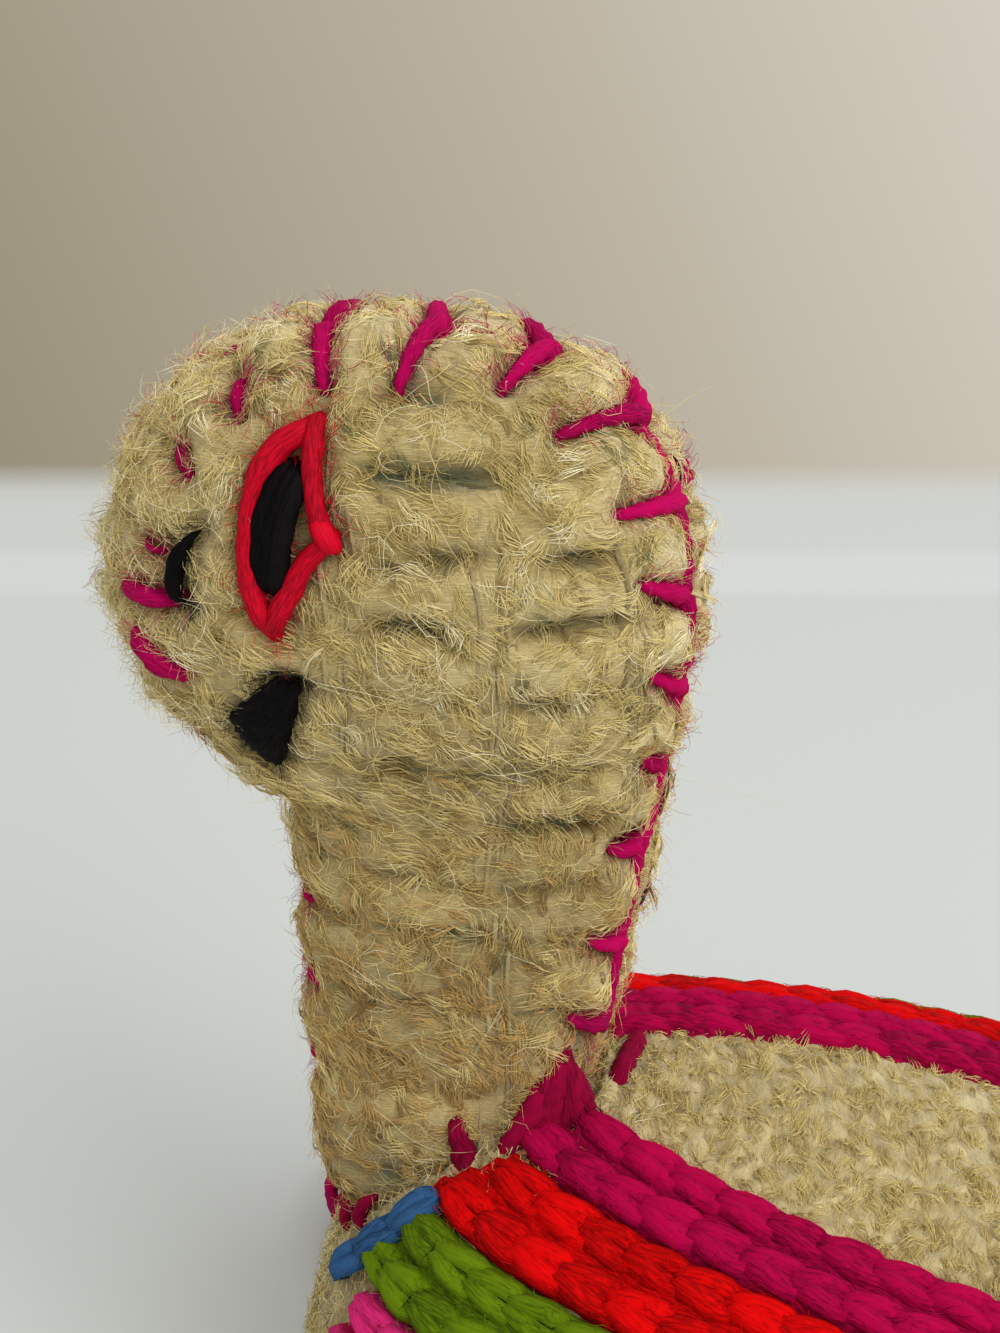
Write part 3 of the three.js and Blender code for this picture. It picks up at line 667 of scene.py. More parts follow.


# Picked by the relief at a root, these tones run from painted shade in the holes to painted light on
# the crests, and the two browns are painted shade low on the neck. Some coats pick them at random.
cream_fibres = [fibre_wool("fibre " + word, colour) for word, colour in (
    ("of the holes", wool(130, 130, 92)), ("in shade", wool(162, 144, 92)),
    ("tan", wool(194, 170, 107)), ("cream", wool(216, 196, 132)),
    ("warm cream", wool(228, 207, 140)), ("pale cream", wool(237, 221, 164)),
    ("ivory", wool(246, 238, 202)), ("brown shade", wool(152, 120, 72)),
    ("brown", wool(198, 164, 102)))]
stained = fibre_wool("fibre stained pink", wool(196, 96, 110))


def dyed_fibres(word, colour):
    """A dark, a plain and a light fibre of a dyed colour."""
    return [fibre_wool(f"{word} fibre {k}", dimmed(colour, factor))
            for k, factor in enumerate((0.6, 1.0, 1.35))]


dyed = {word: dyed_fibres(word, colour) for word, colour in (
    ("magenta", MAGENTA), ("red", RED), ("green", GREEN), ("pink", PINK), ("blue", BLUE))}
eye_fibres = dyed_fibres("eye red", EYE_RED)
black_fibres = [fibre_wool("black fibre", BLACK, 0.0), fibre_wool("dark fibre", wool(44, 38, 34), 0.0)]
print("materials:", len(bpy.data.materials))

# %% [markdown]
# ## Head and neck cloth
# One panel covers each side from nose to nape and down the neck. The grid's rows are level rings
# round half the head, and its columns run down it, spaced evenly along the cloth. Then the weave is
# pressed into it: fat ribs lie across, bound every nine millimetres by a few thin warp threads, with
# gaps where two ribs part. Beside the seam the cloth swells into lobes between the stitches.

# %% Where the seam's stitches lie
# Each stitch on the head's left side, in mm: where it starts at the edge, and its tip.
SEAM_LEGS = [
    ((7.2, -53.7, 89.4), (7.9, -53.1, 88.4)), ((5.6, -50.0, 93.5), (7.2, -49.7, 92.2)),
    ((1.6, -45.3, 96.1), (6.6, -44.5, 94.1)), ((-0.6, -38.4, 96.3), (6.6, -39.9, 94.3)),
    ((-0.4, -31.4, 95.0), (5.5, -33.6, 94.2)), ((0.2, -25.5, 90.9), (6.7, -30.0, 91.6)),
    ((2.1, -22.9, 85.9), (7.1, -26.1, 86.7)), ((3.9, -22.4, 80.2), (6.9, -24.5, 81.9)),
    ((1.9, -22.3, 72.9), (6.1, -23.8, 75.3)), ((3.6, -23.7, 68.0), (4.8, -24.3, 68.9)),
    ((4.1, -24.8, 62.3), (5.7, -26.1, 62.6)), ((3.3, -25.6, 54.5), (5.7, -27.2, 55.5)),
    ((3.3, -26.7, 47.9), (6.1, -28.7, 49.6)), ((7.9, -55.6, 83.3), (8.4, -54.8, 83.1)),
    ((7.2, -56.8, 80.1), (8.9, -54.4, 80.2)), ((7.6, -56.1, 76.9), (8.9, -53.6, 75.6)),
    ((3.0, -55.0, 69.6), (5.5, -53.0, 69.9)), ((3.0, -50.5, 63.8), (5.0, -49.2, 63.0)),
    ((3.0, -48.6, 57.0), (5.0, -47.6, 56.6)), ((3.0, -48.6, 50.6), (5.0, -47.6, 50.2)),
    ((3.0, -48.6, 44.4), (5.0, -47.6, 44.0))]
# Some of them are half buried in the wool, so their radius is given by number, in mm. A few lie
# higher than the rest, and those after the last one on the face lie deeper.
THIN_LEGS = {0: 0.3, 1: 0.4, 13: 0.22, 14: 0.62, 15: (0.45, 0.85, 0.95, 0.8), 16: 0.35, 17: 0.4,
             18: 0.35, 19: 0.3, 20: 0.35}
LEG_RADIUS = (0.66, 0.68, 0.6, 0.45, 0.28)
HIGH_LEGS, LEG_DEPTH, LAST_ON_FACE = {13: -0.6, 14: -0.3, 15: -0.1}, -0.85, 15

# %% The seam line
def middle_line():
    """The head's outline in its middle plane, from the chest over the nose and top to the nape."""
    up = np.concatenate([np.linspace(30, MUZZLE, 500), MUZZLE + HEAD_RISE * np.sin(
        np.linspace(0, np.pi / 2, 400))])
    middle, length, _ = head_oval(up)
    front = np.stack([0 * up, middle - length, up], -1)
    back = np.stack([0 * up, middle + length, up], -1)[::-1]
    line = np.concatenate([front, back[1:]])
    far = far_along(line)
    even = np.arange(0, far[-1], 0.25)
    line = place_at(even, far, line)
    nape = np.clip((line[:, 1] + 33) / 6, 0, 1) * np.clip((92 - line[:, 2]) / 7, 0, 1)
    line[:, 0] = nape * (2.6 + 0.9 * waver(even, 0 * even, 6, 5))
    return settle(head_level, line), even


seam_line, seam_far = middle_line()


def from_seam(p, side=1):
    """Distance to the seam, and how far along it its nearest place is."""
    flat = p.reshape(-1, 3) * [side, 1, 1]
    near = np.empty(len(flat), int)
    apart = np.empty(len(flat))
    for start in range(0, len(flat), 4000):
        some = slice(start, start + 4000)
        d = np.linalg.norm(flat[some, None] - seam_line[None], axis=-1)
        near[some] = d.argmin(1)
        apart[some] = d.min(1)
    return apart.reshape(p.shape[:-1]), seam_far[near].reshape(p.shape[:-1])


leg_far = np.sort(from_seam(np.array([edge for edge, _ in SEAM_LEGS]))[1])
print("seam", round(seam_far[-1], 1), "mm long;", len(leg_far), "stitches")

# %% Distance to lines
def to_lines(p, lines):
    """Distance of each point to the nearest of several short straight lines."""
    best = np.full(p.shape[:-1], 99.0)
    for a, b in lines:
        a, b = np.asarray(a, float), np.asarray(b, float)
        share = np.clip(((p - a) @ (b - a)) / max((b - a) @ (b - a), 1e-9), 0, 1)
        best = np.minimum(best, np.linalg.norm(p - a - share[..., None] * (b - a), axis=-1))
    return best


def chain(points):
    """The short straight lines from each point to the next."""
    return list(zip(points[:-1], points[1:]))


# %% The face's stitches, on the left side
EYE_FRONT = [(8.0, -44.4, 92.7), (8.5, -44.6, 91.9), (8.9, -46.5, 90.8), (9.5, -47.7, 89.2),
             (10.0, -48.3, 87.2), (10.5, -48.5, 84.9), (10.8, -48.4, 83.1), (11.0, -48.0, 81.4),
             (11.1, -47.2, 79.6), (11.1, -46.8, 78.8)]
EYE_REAR = [(8.1, -44.4, 92.6), (9.0, -44.5, 91.2), (9.7, -44.5, 89.7), (10.3, -44.3, 88.0),
            (10.7, -44.0, 86.8), (10.9, -43.6, 85.6)]
EYE_LOW = [(10.9, -43.0, 85.9), (11.0, -43.9, 85.1), (11.1, -44.9, 84.1), (11.2, -45.6, 82.5),
           (11.2, -46.5, 80.9), (11.1, -47.1, 79.4)]
EYE_KNOT = [(10.7, -44.2, 86.8), (10.9, -43.5, 85.9), (11.0, -43.0, 85.0)]
PUPIL = [[(9.3, -45.7, 90.2), (9.9, -46.8, 88.5), (10.3, -47.3, 87.0), (10.7, -47.6, 85.0),
          (10.9, -47.6, 83.4), (11.0, -47.2, 81.8)],
         [(9.5, -45.4, 90.0), (9.9, -46.0, 88.6), (10.4, -46.7, 87.0), (10.7, -47.0, 85.1),
          (10.9, -47.1, 83.2), (11.1, -47.0, 81.8)],
         [(9.6, -45.2, 89.8), (10.1, -45.3, 88.4), (10.4, -45.9, 87.2), (10.8, -46.3, 85.4),
          (11.1, -46.5, 83.3), (11.1, -46.8, 81.8)]]
NOSTRIL = [(9.6, -51.8, 85.2), (9.5, -52.6, 84.0), (9.4, -53.2, 82.8), (9.4, -53.3, 81.5),
           (9.6, -52.9, 80.1)]
MOUTH_TOP = [(11.0, -46.9, 75.9), (11.1, -45.8, 75.9)]
MOUTH_FOOT = [(9.2, -50.2, 72.1), (8.9, -49.7, 71.0), (8.5, -49.1, 69.9), (8.3, -48.5, 69.1),
              (8.5, -48.0, 68.8)]


def spaced(points, count):
    """Places evenly spread along a line of points."""
    points = np.array(points)
    return place_at(np.linspace(0, len(points) - 1, count), range(len(points)), points)


MOUTH_FAN = list(zip(spaced(MOUTH_TOP, 9), spaced(MOUTH_FOOT, 9)))
print(len(PUPIL), "strands in an eye's centre,", len(MOUTH_FAN), "in the mouth")

# %% The weave's relief
# GAPS are the heights where one rib ends and the next begins, and WARP is the distance between the
# bundles of warp threads, both in mm.
GAPS = np.array([31.5, 38.0, 44.3, 51.0, 57.0, 61.2, 65.4, 69.5, 75.2, 79.9, 84.3, 89.4, 93.6, 99.0])
WARP, WARP_START = 9.3, 2.3
# Where the ribs part on the left side: from, to, height and how far, in mm along the head
HOLES = [(-41.5, -33.6, 89.5, 1.0), (-38.4, -33.8, 84.7, 0.9), (-31.2, -26.5, 84.2, 1.0),
         (-41.0, -36.2, 80.2, 0.8), (-33.2, -25.0, 79.9, 0.8), (-40.5, -37.0, 93.6, 0.6),
         (-41.5, -38.3, 69.7, 0.7), (-34.5, -27.5, 65.4, 0.8), (-43.0, -40.0, 61.0, 0.5),
         (-33.0, -29.0, 75.0, 0.6), (-38.0, -34.5, 57.0, 0.6), (-45.0, -42.0, 51.0, 0.5),
         (-31.0, -28.0, 51.0, 0.5), (-44.6, -41.0, 36.8, 0.7)]


def opened(y, z):
    """How far the weave is open at a place on the head's side, from 0 to 1."""
    field = np.zeros(y.shape)
    for low, high, height, far in HOLES:
        inside = 1 / (1 + np.exp(-(y - low) / 0.35)) / (1 + np.exp((y - high) / 0.35))
        field = np.maximum(field, far * inside * np.exp(-((z - height) / 0.85) ** 2))
    return field


def weave_relief(u, v, y, z, side):
    """Height of the cloth in mm, how deep in a hole it is, and how much of it is warp thread."""
    gape = opened(y if side == 1 else -70 - y, z)
    z = z + 0.6 * waver(u, v, 7.5, 11 + side) + 0.3 * waver(u, v, 3.0, 12 + side)
    # Each rib is round between the heights where it ends.
    row = np.clip(np.searchsorted(GAPS, z) - 1, 0, len(GAPS) - 2)
    share = np.clip((z - GAPS[row]) / (GAPS[row + 1] - GAPS[row]), 0, 1)
    rib = np.clip(1 - np.abs(2 * share - 1) ** 2.6, 0, 1) ** 0.6
    # Bundles of warp bind the ribs at even distances, and between them each rib has its own thickness.
    shift = u - WARP_START + 0.8 * waver(u * 0, v, 9, 13 + side)
    column = np.round(shift / WARP)
    beside = np.abs(shift - column * WARP)
    warp = np.exp(-(beside / 1.25) ** 2)
    fat = np.random.default_rng(17 + side).uniform(0.65, 1.25, (len(GAPS), 24))
    fat = fat[row, np.clip(np.floor(shift / WARP).astype(int) + 8, 0, 23)]
    pillow = fat * (1 - 0.55 * np.exp(-(beside / 1.9) ** 2))
    # The weave is more open in some places, and lower down it is less firm.
    open_here = np.clip(0.45 + 1.1 * waver(u, v, 5.5, 14 + side), 0, 1)
    hole = np.maximum(0.35 * (1 - rib) ** 1.3 * open_here, gape) * (1 - 0.6 * warp)
    firm = np.interp(z, [50, 66], [0.6, 1.0])
    height = (0.62 + 0.38 * open_here) * firm * 1.2 * (rib - 0.6) * pillow + 0.5 - 1.1 * gape
    height = height + 0.3 * warp * (1 - rib) + (1.3 - firm) * 0.3 * waver(u, v, 3.4, 15 + side)
    return height, hole, warp


# %% The grid of a head panel
HEAD_ROWS, HEAD_COLUMNS = 236, 160


def head_grid():
    """Half rings round the head and neck, and the millimetres of cloth round them and up them."""
    dense = np.concatenate([np.linspace(29, MUZZLE, 1500), MUZZLE + HEAD_RISE * np.sin(
        np.linspace(0, np.pi / 2, 1500))[1:]])
    half = head_oval(dense)[2]
    far = np.concatenate([[0], np.cumsum(np.hypot(np.diff(half), np.diff(dense)))])
    climb = np.linspace(0, far[-1], HEAD_ROWS)
    heights = np.interp(climb, far, dense)
    turn = np.linspace(0, np.pi, 2400)
    points, u = np.empty((HEAD_ROWS, HEAD_COLUMNS, 3)), np.empty((HEAD_ROWS, HEAD_COLUMNS))
    for k, (middle, length, half) in enumerate(zip(*head_oval(heights))):
        y = middle - length * np.sign(np.cos(turn)) * np.abs(np.cos(turn)) ** (2 / OVAL)
        x = half * np.abs(np.sin(turn)) ** (2 / OVAL)
        run = np.concatenate([[0], np.cumsum(np.hypot(np.diff(x), np.diff(y)))])
        even = np.linspace(0, run[-1], HEAD_COLUMNS)
        level = np.full(HEAD_COLUMNS, heights[k])
        points[k] = np.stack([np.interp(even, run, x), np.interp(even, run, y), level], -1)
        u[k] = even - np.interp(-36, y, run)
    return points, u, np.repeat(climb[:, None], HEAD_COLUMNS, 1)


# %% The cloth of a head panel
def between_stitches(far, side):
    """How the edge swells between two stitches, from 0 at them to 1, and how much in each place."""
    stitch = np.clip(np.searchsorted(leg_far, far), 1, len(leg_far) - 1)
    puff = np.random.default_rng(24 + side).uniform(0.55, 1.15, len(leg_far))[stitch]
    part = (far - leg_far[stitch - 1]) / (leg_far[stitch] - leg_far[stitch - 1])
    return np.clip(np.sin(np.pi * np.clip(part, 0, 1)), 0, 1) ** 0.6, puff


def head_side(side):
    """The left (1) or right (-1) panel: its places, directions out, cloth coordinates and shades."""
    points, u, v = head_grid()
    z = points[..., 2]
    out = outward(head_level, points)
    out[-1] = (0, 0, 1)
    height, hole, warp = weave_relief(u, v, points[..., 1], z, side)
    apart, far = from_seam(points, side)
    lobe, puff = between_stitches(far, side)
    # The edge swells between the stitches and dips where the panels meet, and calms the ribs there.
    edge = np.exp(-((apart - 2.1) / 1.9) ** 2)
    bundle = 0.6 * waver((u * 0.81 - v * 0.58) / 3.2, u * 0.58 + v * 0.81, 0.62, 23 + side)
    bundle = bundle + 0.7 * waver(u, v, 1.5, 25 + side)
    rough = (waver(u, v, 2.2, 21 + side) + bundle) * np.interp(z, [52, 66], [0.08, 0.18])
    calm = np.clip((apart - 1.5) / 4, 0.15, 1)
    dip = 1.1 * np.exp(-(apart / 0.8) ** 2)
    height = height * calm + edge * (lobe * puff * 1.8 - 0.4) - dip + rough
    # The yarns press the cloth down.
    legs = to_lines(points, SEAM_LEGS)
    drawn = [EYE_FRONT, EYE_REAR, EYE_LOW, EYE_KNOT, NOSTRIL, *PUPIL]
    face = to_lines(points, sum((chain(p) for p in drawn), []) + MOUTH_FAN)
    pressed = np.exp(-(legs / 0.9) ** 2) * 1.3 + np.exp(-(face / 1.1) ** 2) * 0.8
    height = height - pressed
    # The material reads the relief as painted light and shade: lighter on the ribs, the lobes by the
    # seam and the top of the head, darker in the holes and where the yarns press the cloth down.
    relief = 0.44 + 0.24 * height - 0.35 * hole - 0.1 * pressed + 0.2 * edge * lobe
    relief = relief + 0.07 * np.clip((z - 70) / 10, 0, 1)
    # At its foot the cloth is tucked into the shell.
    height = lerp(-0.8, height - 1.0 - 0.4 * edge, np.clip((z - 33) / 6, 0, 1))
    tint = waver(u, v, 9, 31 + side) + 0.5 * waver(u, v, 3, 32 + side)
    # Low on the neck the tint darkens, as painted shade.
    tint = tint + np.clip((62 - z) / 30, 0, 1) * -0.9
    flip = np.array([side, 1, 1])
    draped = points + out * height[..., None]
    draped[..., 0] = np.maximum(draped[..., 0], -0.02)
    return {"points": draped * flip, "bare": points * flip, "out": out * flip, "u": u, "v": v, "z": z,
            "relief": relief, "tint": tint, "hole": hole, "warp": warp, "bundle": bundle,
            "apart": apart, "legs": legs, "face": face,
            "mouth": to_lines(points, MOUTH_FAN + chain(NOSTRIL)),
            "eye": to_lines(points, chain(EYE_FRONT) + chain(EYE_REAR) + chain(EYE_LOW))}


# %% The two head panels
heads = {1: head_side(1), -1: head_side(-1)}
for side, word in SIDES:
    # The right panel's columns run backwards, so its faces still point outwards.
    cut = {key: field[:, ::side] for key, field in heads[side].items()}
    shades = {"relief": np.clip(cut["relief"], 0, 1), "tint": cut["tint"]}
    panel = drape(f"head_cloth_{word}", cut["points"].reshape(-1, 3), cut["u"], cut["v"], shades,
                  thick_cloth)
    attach(panel, "head")
    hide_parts(f"head_panel_{word}", *(["head_fill"] if side == 1 else []))
    print(panel.name, len(panel.data.polygons), "faces")

# %% Warp threads
# Between the fat ribs the thin warp shows, a few threads side by side down the cloth, half buried.
# Each bundle is a column of the weave, with the heights between which it shows.
BUNDLES, THREADS = ((-1, (63, 91)), (0, (38, 88)), (1, (52, 92))), 5


def thread_path(cut, rows, asides):
    """Places on a panel, and directions out of it, at so many millimetres round each of some rows."""
    place, out = [], []
    for j, far in zip(rows, asides):
        at = np.array([j]), np.array([np.interp(far, cut["u"][j], np.arange(HEAD_COLUMNS))])
        place.append(between(cut["points"], *at)[0])
        out.append(between(cut["out"], *at)[0])
    return np.array(place), np.array(out)


for side, word in SIDES:
    cut = heads[side]
    rng = np.random.default_rng(50 + side)
    lengths = []
    for column, (low, high) in BUNDLES:
        rows = np.flatnonzero((cut["z"][:, 0] > low) & (cut["z"][:, 0] < high))
        v = cut["v"][rows, 0]
        for k in range(THREADS):
            aside = WARP_START + column * WARP + (k - 2) * 0.52 + 0.35 * waver(v, 0 * rows, 3.5, 51 + k)
            aside = aside - 0.8 * waver(aside * 0, v, 9, 13 + side)
            place, out = thread_path(cut, rows, aside)
            lift = -0.1 + 0.2 * waver(v, 0 * rows + 7 * k, 2.4, 55 + k)
            lengths.append((place + out * lift[:, None], out, rng.uniform(0.13, 0.2)))
    warp = yarns(f"warp_threads_{word}", lengths, thin_yarn, seed=53, sides=6, turn=2.5)
    store(warp.data, "relief", np.full(len(warp.data.vertices), 0.5))
    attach(warp, "head")
    print(warp.name, len(lengths), "threads")

# %% [markdown]
# ## The seam yarn and the face
# Blanket stitch joins the panels: the yarn runs along the edge and steps in over the cloth at each
# stitch, pulled deep into the wool. The same hand drew the face with longer stitches of smooth yarn:
# a red almond for each eye, black for its centre, the nostril and a wedge of a mouth.

# %% Yarn laid on a form
# A stitch dives into the cloth at both of its ends: shares of its way, and how high it lies there.
DIVE = ([0, 0.12, 0.88, 1], [-0.9, 0, 0, -0.9])


def laid(points, count=None, height=0.0, side=1, level=head_level, lift=DIVE):
    """A smooth path through the points, on the form's surface, with the directions out of it."""
    points = np.asarray(points, float)
    knots = far_along(points)
    count = count or max(5, int(knots[-1] / 0.35))
    path = smoothed(place_at(np.linspace(0, knots[-1], count), knots, points), 3)
    on = settle(level, path)
    out = outward(level, on)
    rise = height + np.interp(np.linspace(0, 1, count), *lift)[:, None]
    return (on + out * rise) * [side, 1, 1], out * [side, 1, 1]


# %% The seam's stitches
def seam_stitches(side):
    """Each blanket stitch, from under the edge yarn to the place where it dives into the cloth."""
    rng = np.random.default_rng(40 + side)
    lengths = []
    for k, (edge, tip) in enumerate(SEAM_LEGS):
        edge, tip = np.array(edge), np.array(tip)
        if side == -1:
            tip = tip + rng.normal(0, 0.5, 3)
        long = np.linalg.norm(tip - edge)
        reach = (tip - edge) / long
        marks = np.array([0, 1.4, 1.4 + long * 0.6, 1.4 + long, 2.3 + long]) / (2.3 + long)
        depth = HIGH_LEGS.get(k, LEG_DEPTH - 0.2 * (k > LAST_ON_FACE))
        points = [edge - reach * 1.4, edge, lerp(edge, tip, 0.5), tip, tip + reach * 0.9]
        path, up = laid(points, side=side, height=depth, lift=(marks, [-1.2, 0.0, 0.25, -0.1, -1.5]))
        lengths.append((path, up, THIN_LEGS.get(k, LEG_RADIUS)))
    return lengths


# %% The face's yarns
# Lines of the eye's outline: points, height over the form, and radii from one end to the other
EYE_STRANDS = ((EYE_FRONT, -0.2, (0.5, 0.8, 0.85, 0.6, 0.6, 0.7, 0.75, 0.6)),
               (EYE_REAR, -0.1, (0.5, 0.68, 0.62, 0.62, 0.7)),
               (EYE_LOW, -0.15, (0.6, 0.62, 0.72, 0.75, 0.6)))
KNOT_DIVE = ([0, 0.3, 0.7, 1], [-0.5, 0, 0, -0.8])

for side, word in SIDES:
    yarn = yarns(f"seam_stitches_{word}", seam_stitches(side), magenta_yarn, seed=3 + side, ends=0.7)
    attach(yarn, "head")
    eye = [(*laid(line, side=side, height=height), radii) for line, height, radii in EYE_STRANDS]
    eye.append((*laid(EYE_KNOT, side=side, height=0.15, lift=KNOT_DIVE), 0.68))
    outline = yarns(f"eye_outline_yarn_{word}", eye, eye_yarn, seed=5, plies=4, turn=9, deep=0.06,
                    ends=0.6)
    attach(outline, "head")
    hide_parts(f"eye_outline_{word}")
    dark = [(*laid(strand, side=side, height=-0.25 + 0.1 * k), (0.35, 0.68, 0.74, 0.72, 0.5))
            for k, strand in enumerate(PUPIL)]
    centre = yarns(f"eye_centre_yarn_{word}", dark, black_yarn, seed=6, turn=8, deep=0.07)
    crescent = (*laid(NOSTRIL, side=side), (0.15, 0.42, 0.62, 0.55, 0.2))
    nostril = yarns(f"nostril_yarn_{word}", [crescent], black_yarn, seed=7, turn=8)
    wedge = [(*laid(strand, side=side, height=-0.2), (0.4, 0.58, 0.62, 0.62, 0.5))
             for strand in MOUTH_FAN]
    mouth = yarns(f"mouth_yarn_{word}", wedge, black_yarn, seed=8, turn=6, deep=0.16)
    for piece, node in ((centre, "eye_centre"), (nostril, "nostril"), (mouth, "mouth")):
        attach(piece, "head")
        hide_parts(f"{node}_{word}")
print("face sewn with", len(EYE_STRANDS) + 1 + len(PUPIL) + 1 + len(MOUTH_FAN), "yarns a side")

# %% The bar of yarn along the edge
# It lies deeper in the middle plane than at the nape, where it turns to the left side and shows.
seam_out = outward(head_level, seam_line + [1e-4, 0, 0])
turned = np.clip((seam_line[:, 0] - 0.5) / 1.5, 0, 1)[:, None]
line = seam_line + seam_out * lerp(-1.6, -1.15, turned)
LEAST_POINTS = 5
bars = []
for a, b in chain(leg_far):
    pick = np.flatnonzero((seam_far >= a - 0.5) & (seam_far <= b + 0.5))[::2]
    if len(pick) > LEAST_POINTS:
        bars.append((line[pick], seam_out[pick], 0.7))
bar = yarns("seam_bar_yarn", bars, magenta_yarn, seed=2, ends=0.8)
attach(bar, "head")
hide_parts("head_seam_yarn")
print(len(bars), "bars and", len(SEAM_LEGS), "stitches a side")

# %% [markdown]
# ## The shell
# The cover is a finer weave of the same wool. Most of it lies under embroidery, so only the spine
# panel gets its nubby rows as relief; the flanks are one plain draped dome below the stitches.

# %% Places on the shell
def shell_height(x, y):
    """The height of the dome above a place on the floor."""
    low, high = np.full(x.shape, RIM), np.full(x.shape, CROWN - 1e-3)
    for _ in range(40):
        z = (low + high) / 2
        inside = beyond(body_oval(z), np.stack([x, y, z], -1)) < 1
        low, high = np.where(inside, z, low), np.where(inside, high, z)
    return (low + high) / 2


def neck_hole(p, room):
    """True inside the room the neck takes, grown by a distance."""
    reach_y = np.abs(p[..., 1] + NECK_FORWARD) / (NECK_DEPTH / 2 + room)
    reach_x = np.abs(p[..., 0]) / (NECK_WIDTH / 2 + room)
    return reach_x ** OVAL + reach_y ** OVAL < 1


# %% The dome under the stitches
def ring_sheet(heights, columns):
    """Rings of the body's form at some heights, as places, directions out and cloth lengths."""
    turn = np.linspace(0, 2 * np.pi, columns)
    middle, length, half = (part[:, None] for part in body_oval(heights))
    x = half * np.sign(np.sin(turn)) * np.abs(np.sin(turn)) ** (2 / OVAL)
    y = middle - length * np.sign(np.cos(turn)) * np.abs(np.cos(turn)) ** (2 / OVAL)
    points = np.stack([x, y, np.repeat(heights[:, None], columns, 1)], -1)
    return points, cloth_run(points, 1), cloth_run(points, 0)


heights = RIM + (CROWN - RIM) * np.sin(np.linspace(0, np.pi / 2, 90))
dome_points, u, v = ring_sheet(np.minimum(heights, CROWN - 1e-3), 300)
dome_out = outward(shell_level, dome_points)
knots = 0.12 * np.cos(u * 2 * np.pi / 2.4) * np.cos(v * np.pi / 1.3) + 0.1 * waver(u, v, 1.2, 61)
# The cover goes under the neck and rises to it all round, as cloth that is sewn to it does.
near = head_level(dome_points)
sink = np.where(near < 0, -0.6, 0.3 * np.clip(1 - near / 0.35, 0, 1))
draped = dome_points + dome_out * (knots + sink - 0.15)[..., None]
# The knots are painted lighter than the cloth between them, as painted light and shade.
dome = drape("shell_cloth", draped.reshape(-1, 3), u, v,
             {"relief": np.clip(0.5 + knots, 0, 1), "tint": waver(u, v, 8, 62)}, shell_cloth,
             closed=True)
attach(dome, "body")
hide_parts("shell_cover", "body_fill")
print("dome", len(dome.data.polygons), "faces")

# %% Rows down the flanks
# ROW is the width of a row of chain stitch and LINK the length of one stitch. Five bands of two
# rows each take 20 half rows.
ROW, LINK, HALF_ROWS = 3.3, 3.5, 20


def flank_edges():
    """Lines side by side down the left flank, half a row apart, from the spine outwards."""
    share = (1 - np.cos(np.linspace(0, np.pi, 161))) / 2
    x = lerp(3, 12.7, np.sin(np.pi * share) ** 0.6)
    y = lerp(-27.8, 44.5, share)
    line = settle(shell_level, np.stack([x, y, shell_height(x, y)], -1))
    lines = [line]
    for _ in range(HALF_ROWS):
        along = unit(np.gradient(lines[-1], axis=0))
        away = np.cross(along, outward(shell_level, lines[-1]))
        away *= np.sign(away[:, :1].mean())
        lines.append(settle(shell_level, lines[-1] + away * ROW / 2))
    return lines


edges = flank_edges()
print("flank lines end", np.round(edges[-1][80], 1))


# %% The spine panel
SPINE_ROWS, SPINE_COLUMNS = 140, 320
SPINE_RIB, NUB = 1.8, 4.2


def spine_sheet():
    """The panel between the first rows of both flanks, and its cloth along it and across it."""
    edge = spaced(edges[1], SPINE_COLUMNS)
    x = edge[None, :, 0] * np.linspace(-1, 1, SPINE_ROWS)[:, None]
    y = np.repeat(edge[None, :, 1], SPINE_ROWS, 0)
    points = settle(shell_level, np.stack([x, y, shell_height(x, y)], -1))
    return points, cloth_run(points, 1), x * 1.06


points, u, v = spine_sheet()
out = outward(shell_level, points)
bent = u + 0.5 * waver(u, v, 6, 71) + 0.4 * waver(u, v, 1.9, 72)
row = np.floor(bent / SPINE_RIB)
ridge = np.abs(np.sin(np.pi * bent / SPINE_RIB)) ** 0.7
nub = 0.5 + 0.5 * np.cos(2 * np.pi * (v + 0.9 * waver(u, v, 2.4, 73)) / NUB + np.pi * row)
height = 0.35 * ridge * (0.5 + 0.5 * nub) + 0.2 * waver(u, v, 1.1, 74) + 0.25 * waver(u, v, 3, 75)
# Ridges and nubs are painted lighter, as painted light on the raised cloth.
relief = 0.5 + 0.3 * ridge * (0.4 + 0.6 * nub) + 0.12 * waver(u, v, 1.8, 76)
height = np.where(neck_hole(points, 0.4), -0.8, height)
spine = {"points": points + out * height[..., None], "out": out, "u": u, "v": v, "relief": relief}
panel = drape("spine_cloth", spine["points"].reshape(-1, 3), u, v,
              {"relief": np.clip(relief, 0, 1), "tint": waver(u, v, 7, 77)}, shell_cloth)
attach(panel, "body")
print("spine panel", len(panel.data.polygons), "faces")

# %% [markdown]
# ## Chain stitch
# Each row is a chain of yarn loops. A loop comes up inside the one before it, crosses over its wide
# end and is held down in turn. One loop is shaped from a torus, then every stitch of the flanks is a
# copy bent along its row, a little longer or wider than the next as hand work is.

# %% One loop of yarn
RING, AROUND = 12, 5
bpy.ops.object.select_all(action="DESELECT")
bpy.ops.mesh.primitive_torus_add(major_segments=RING, minor_segments=AROUND, major_radius=1,
                                 minor_radius=0.3)
model_loop = bpy.context.object
loop_quads = np.array([list(face.vertices) for face in model_loop.data.polygons])
bpy.data.objects.remove(model_loop, do_unlink=True)


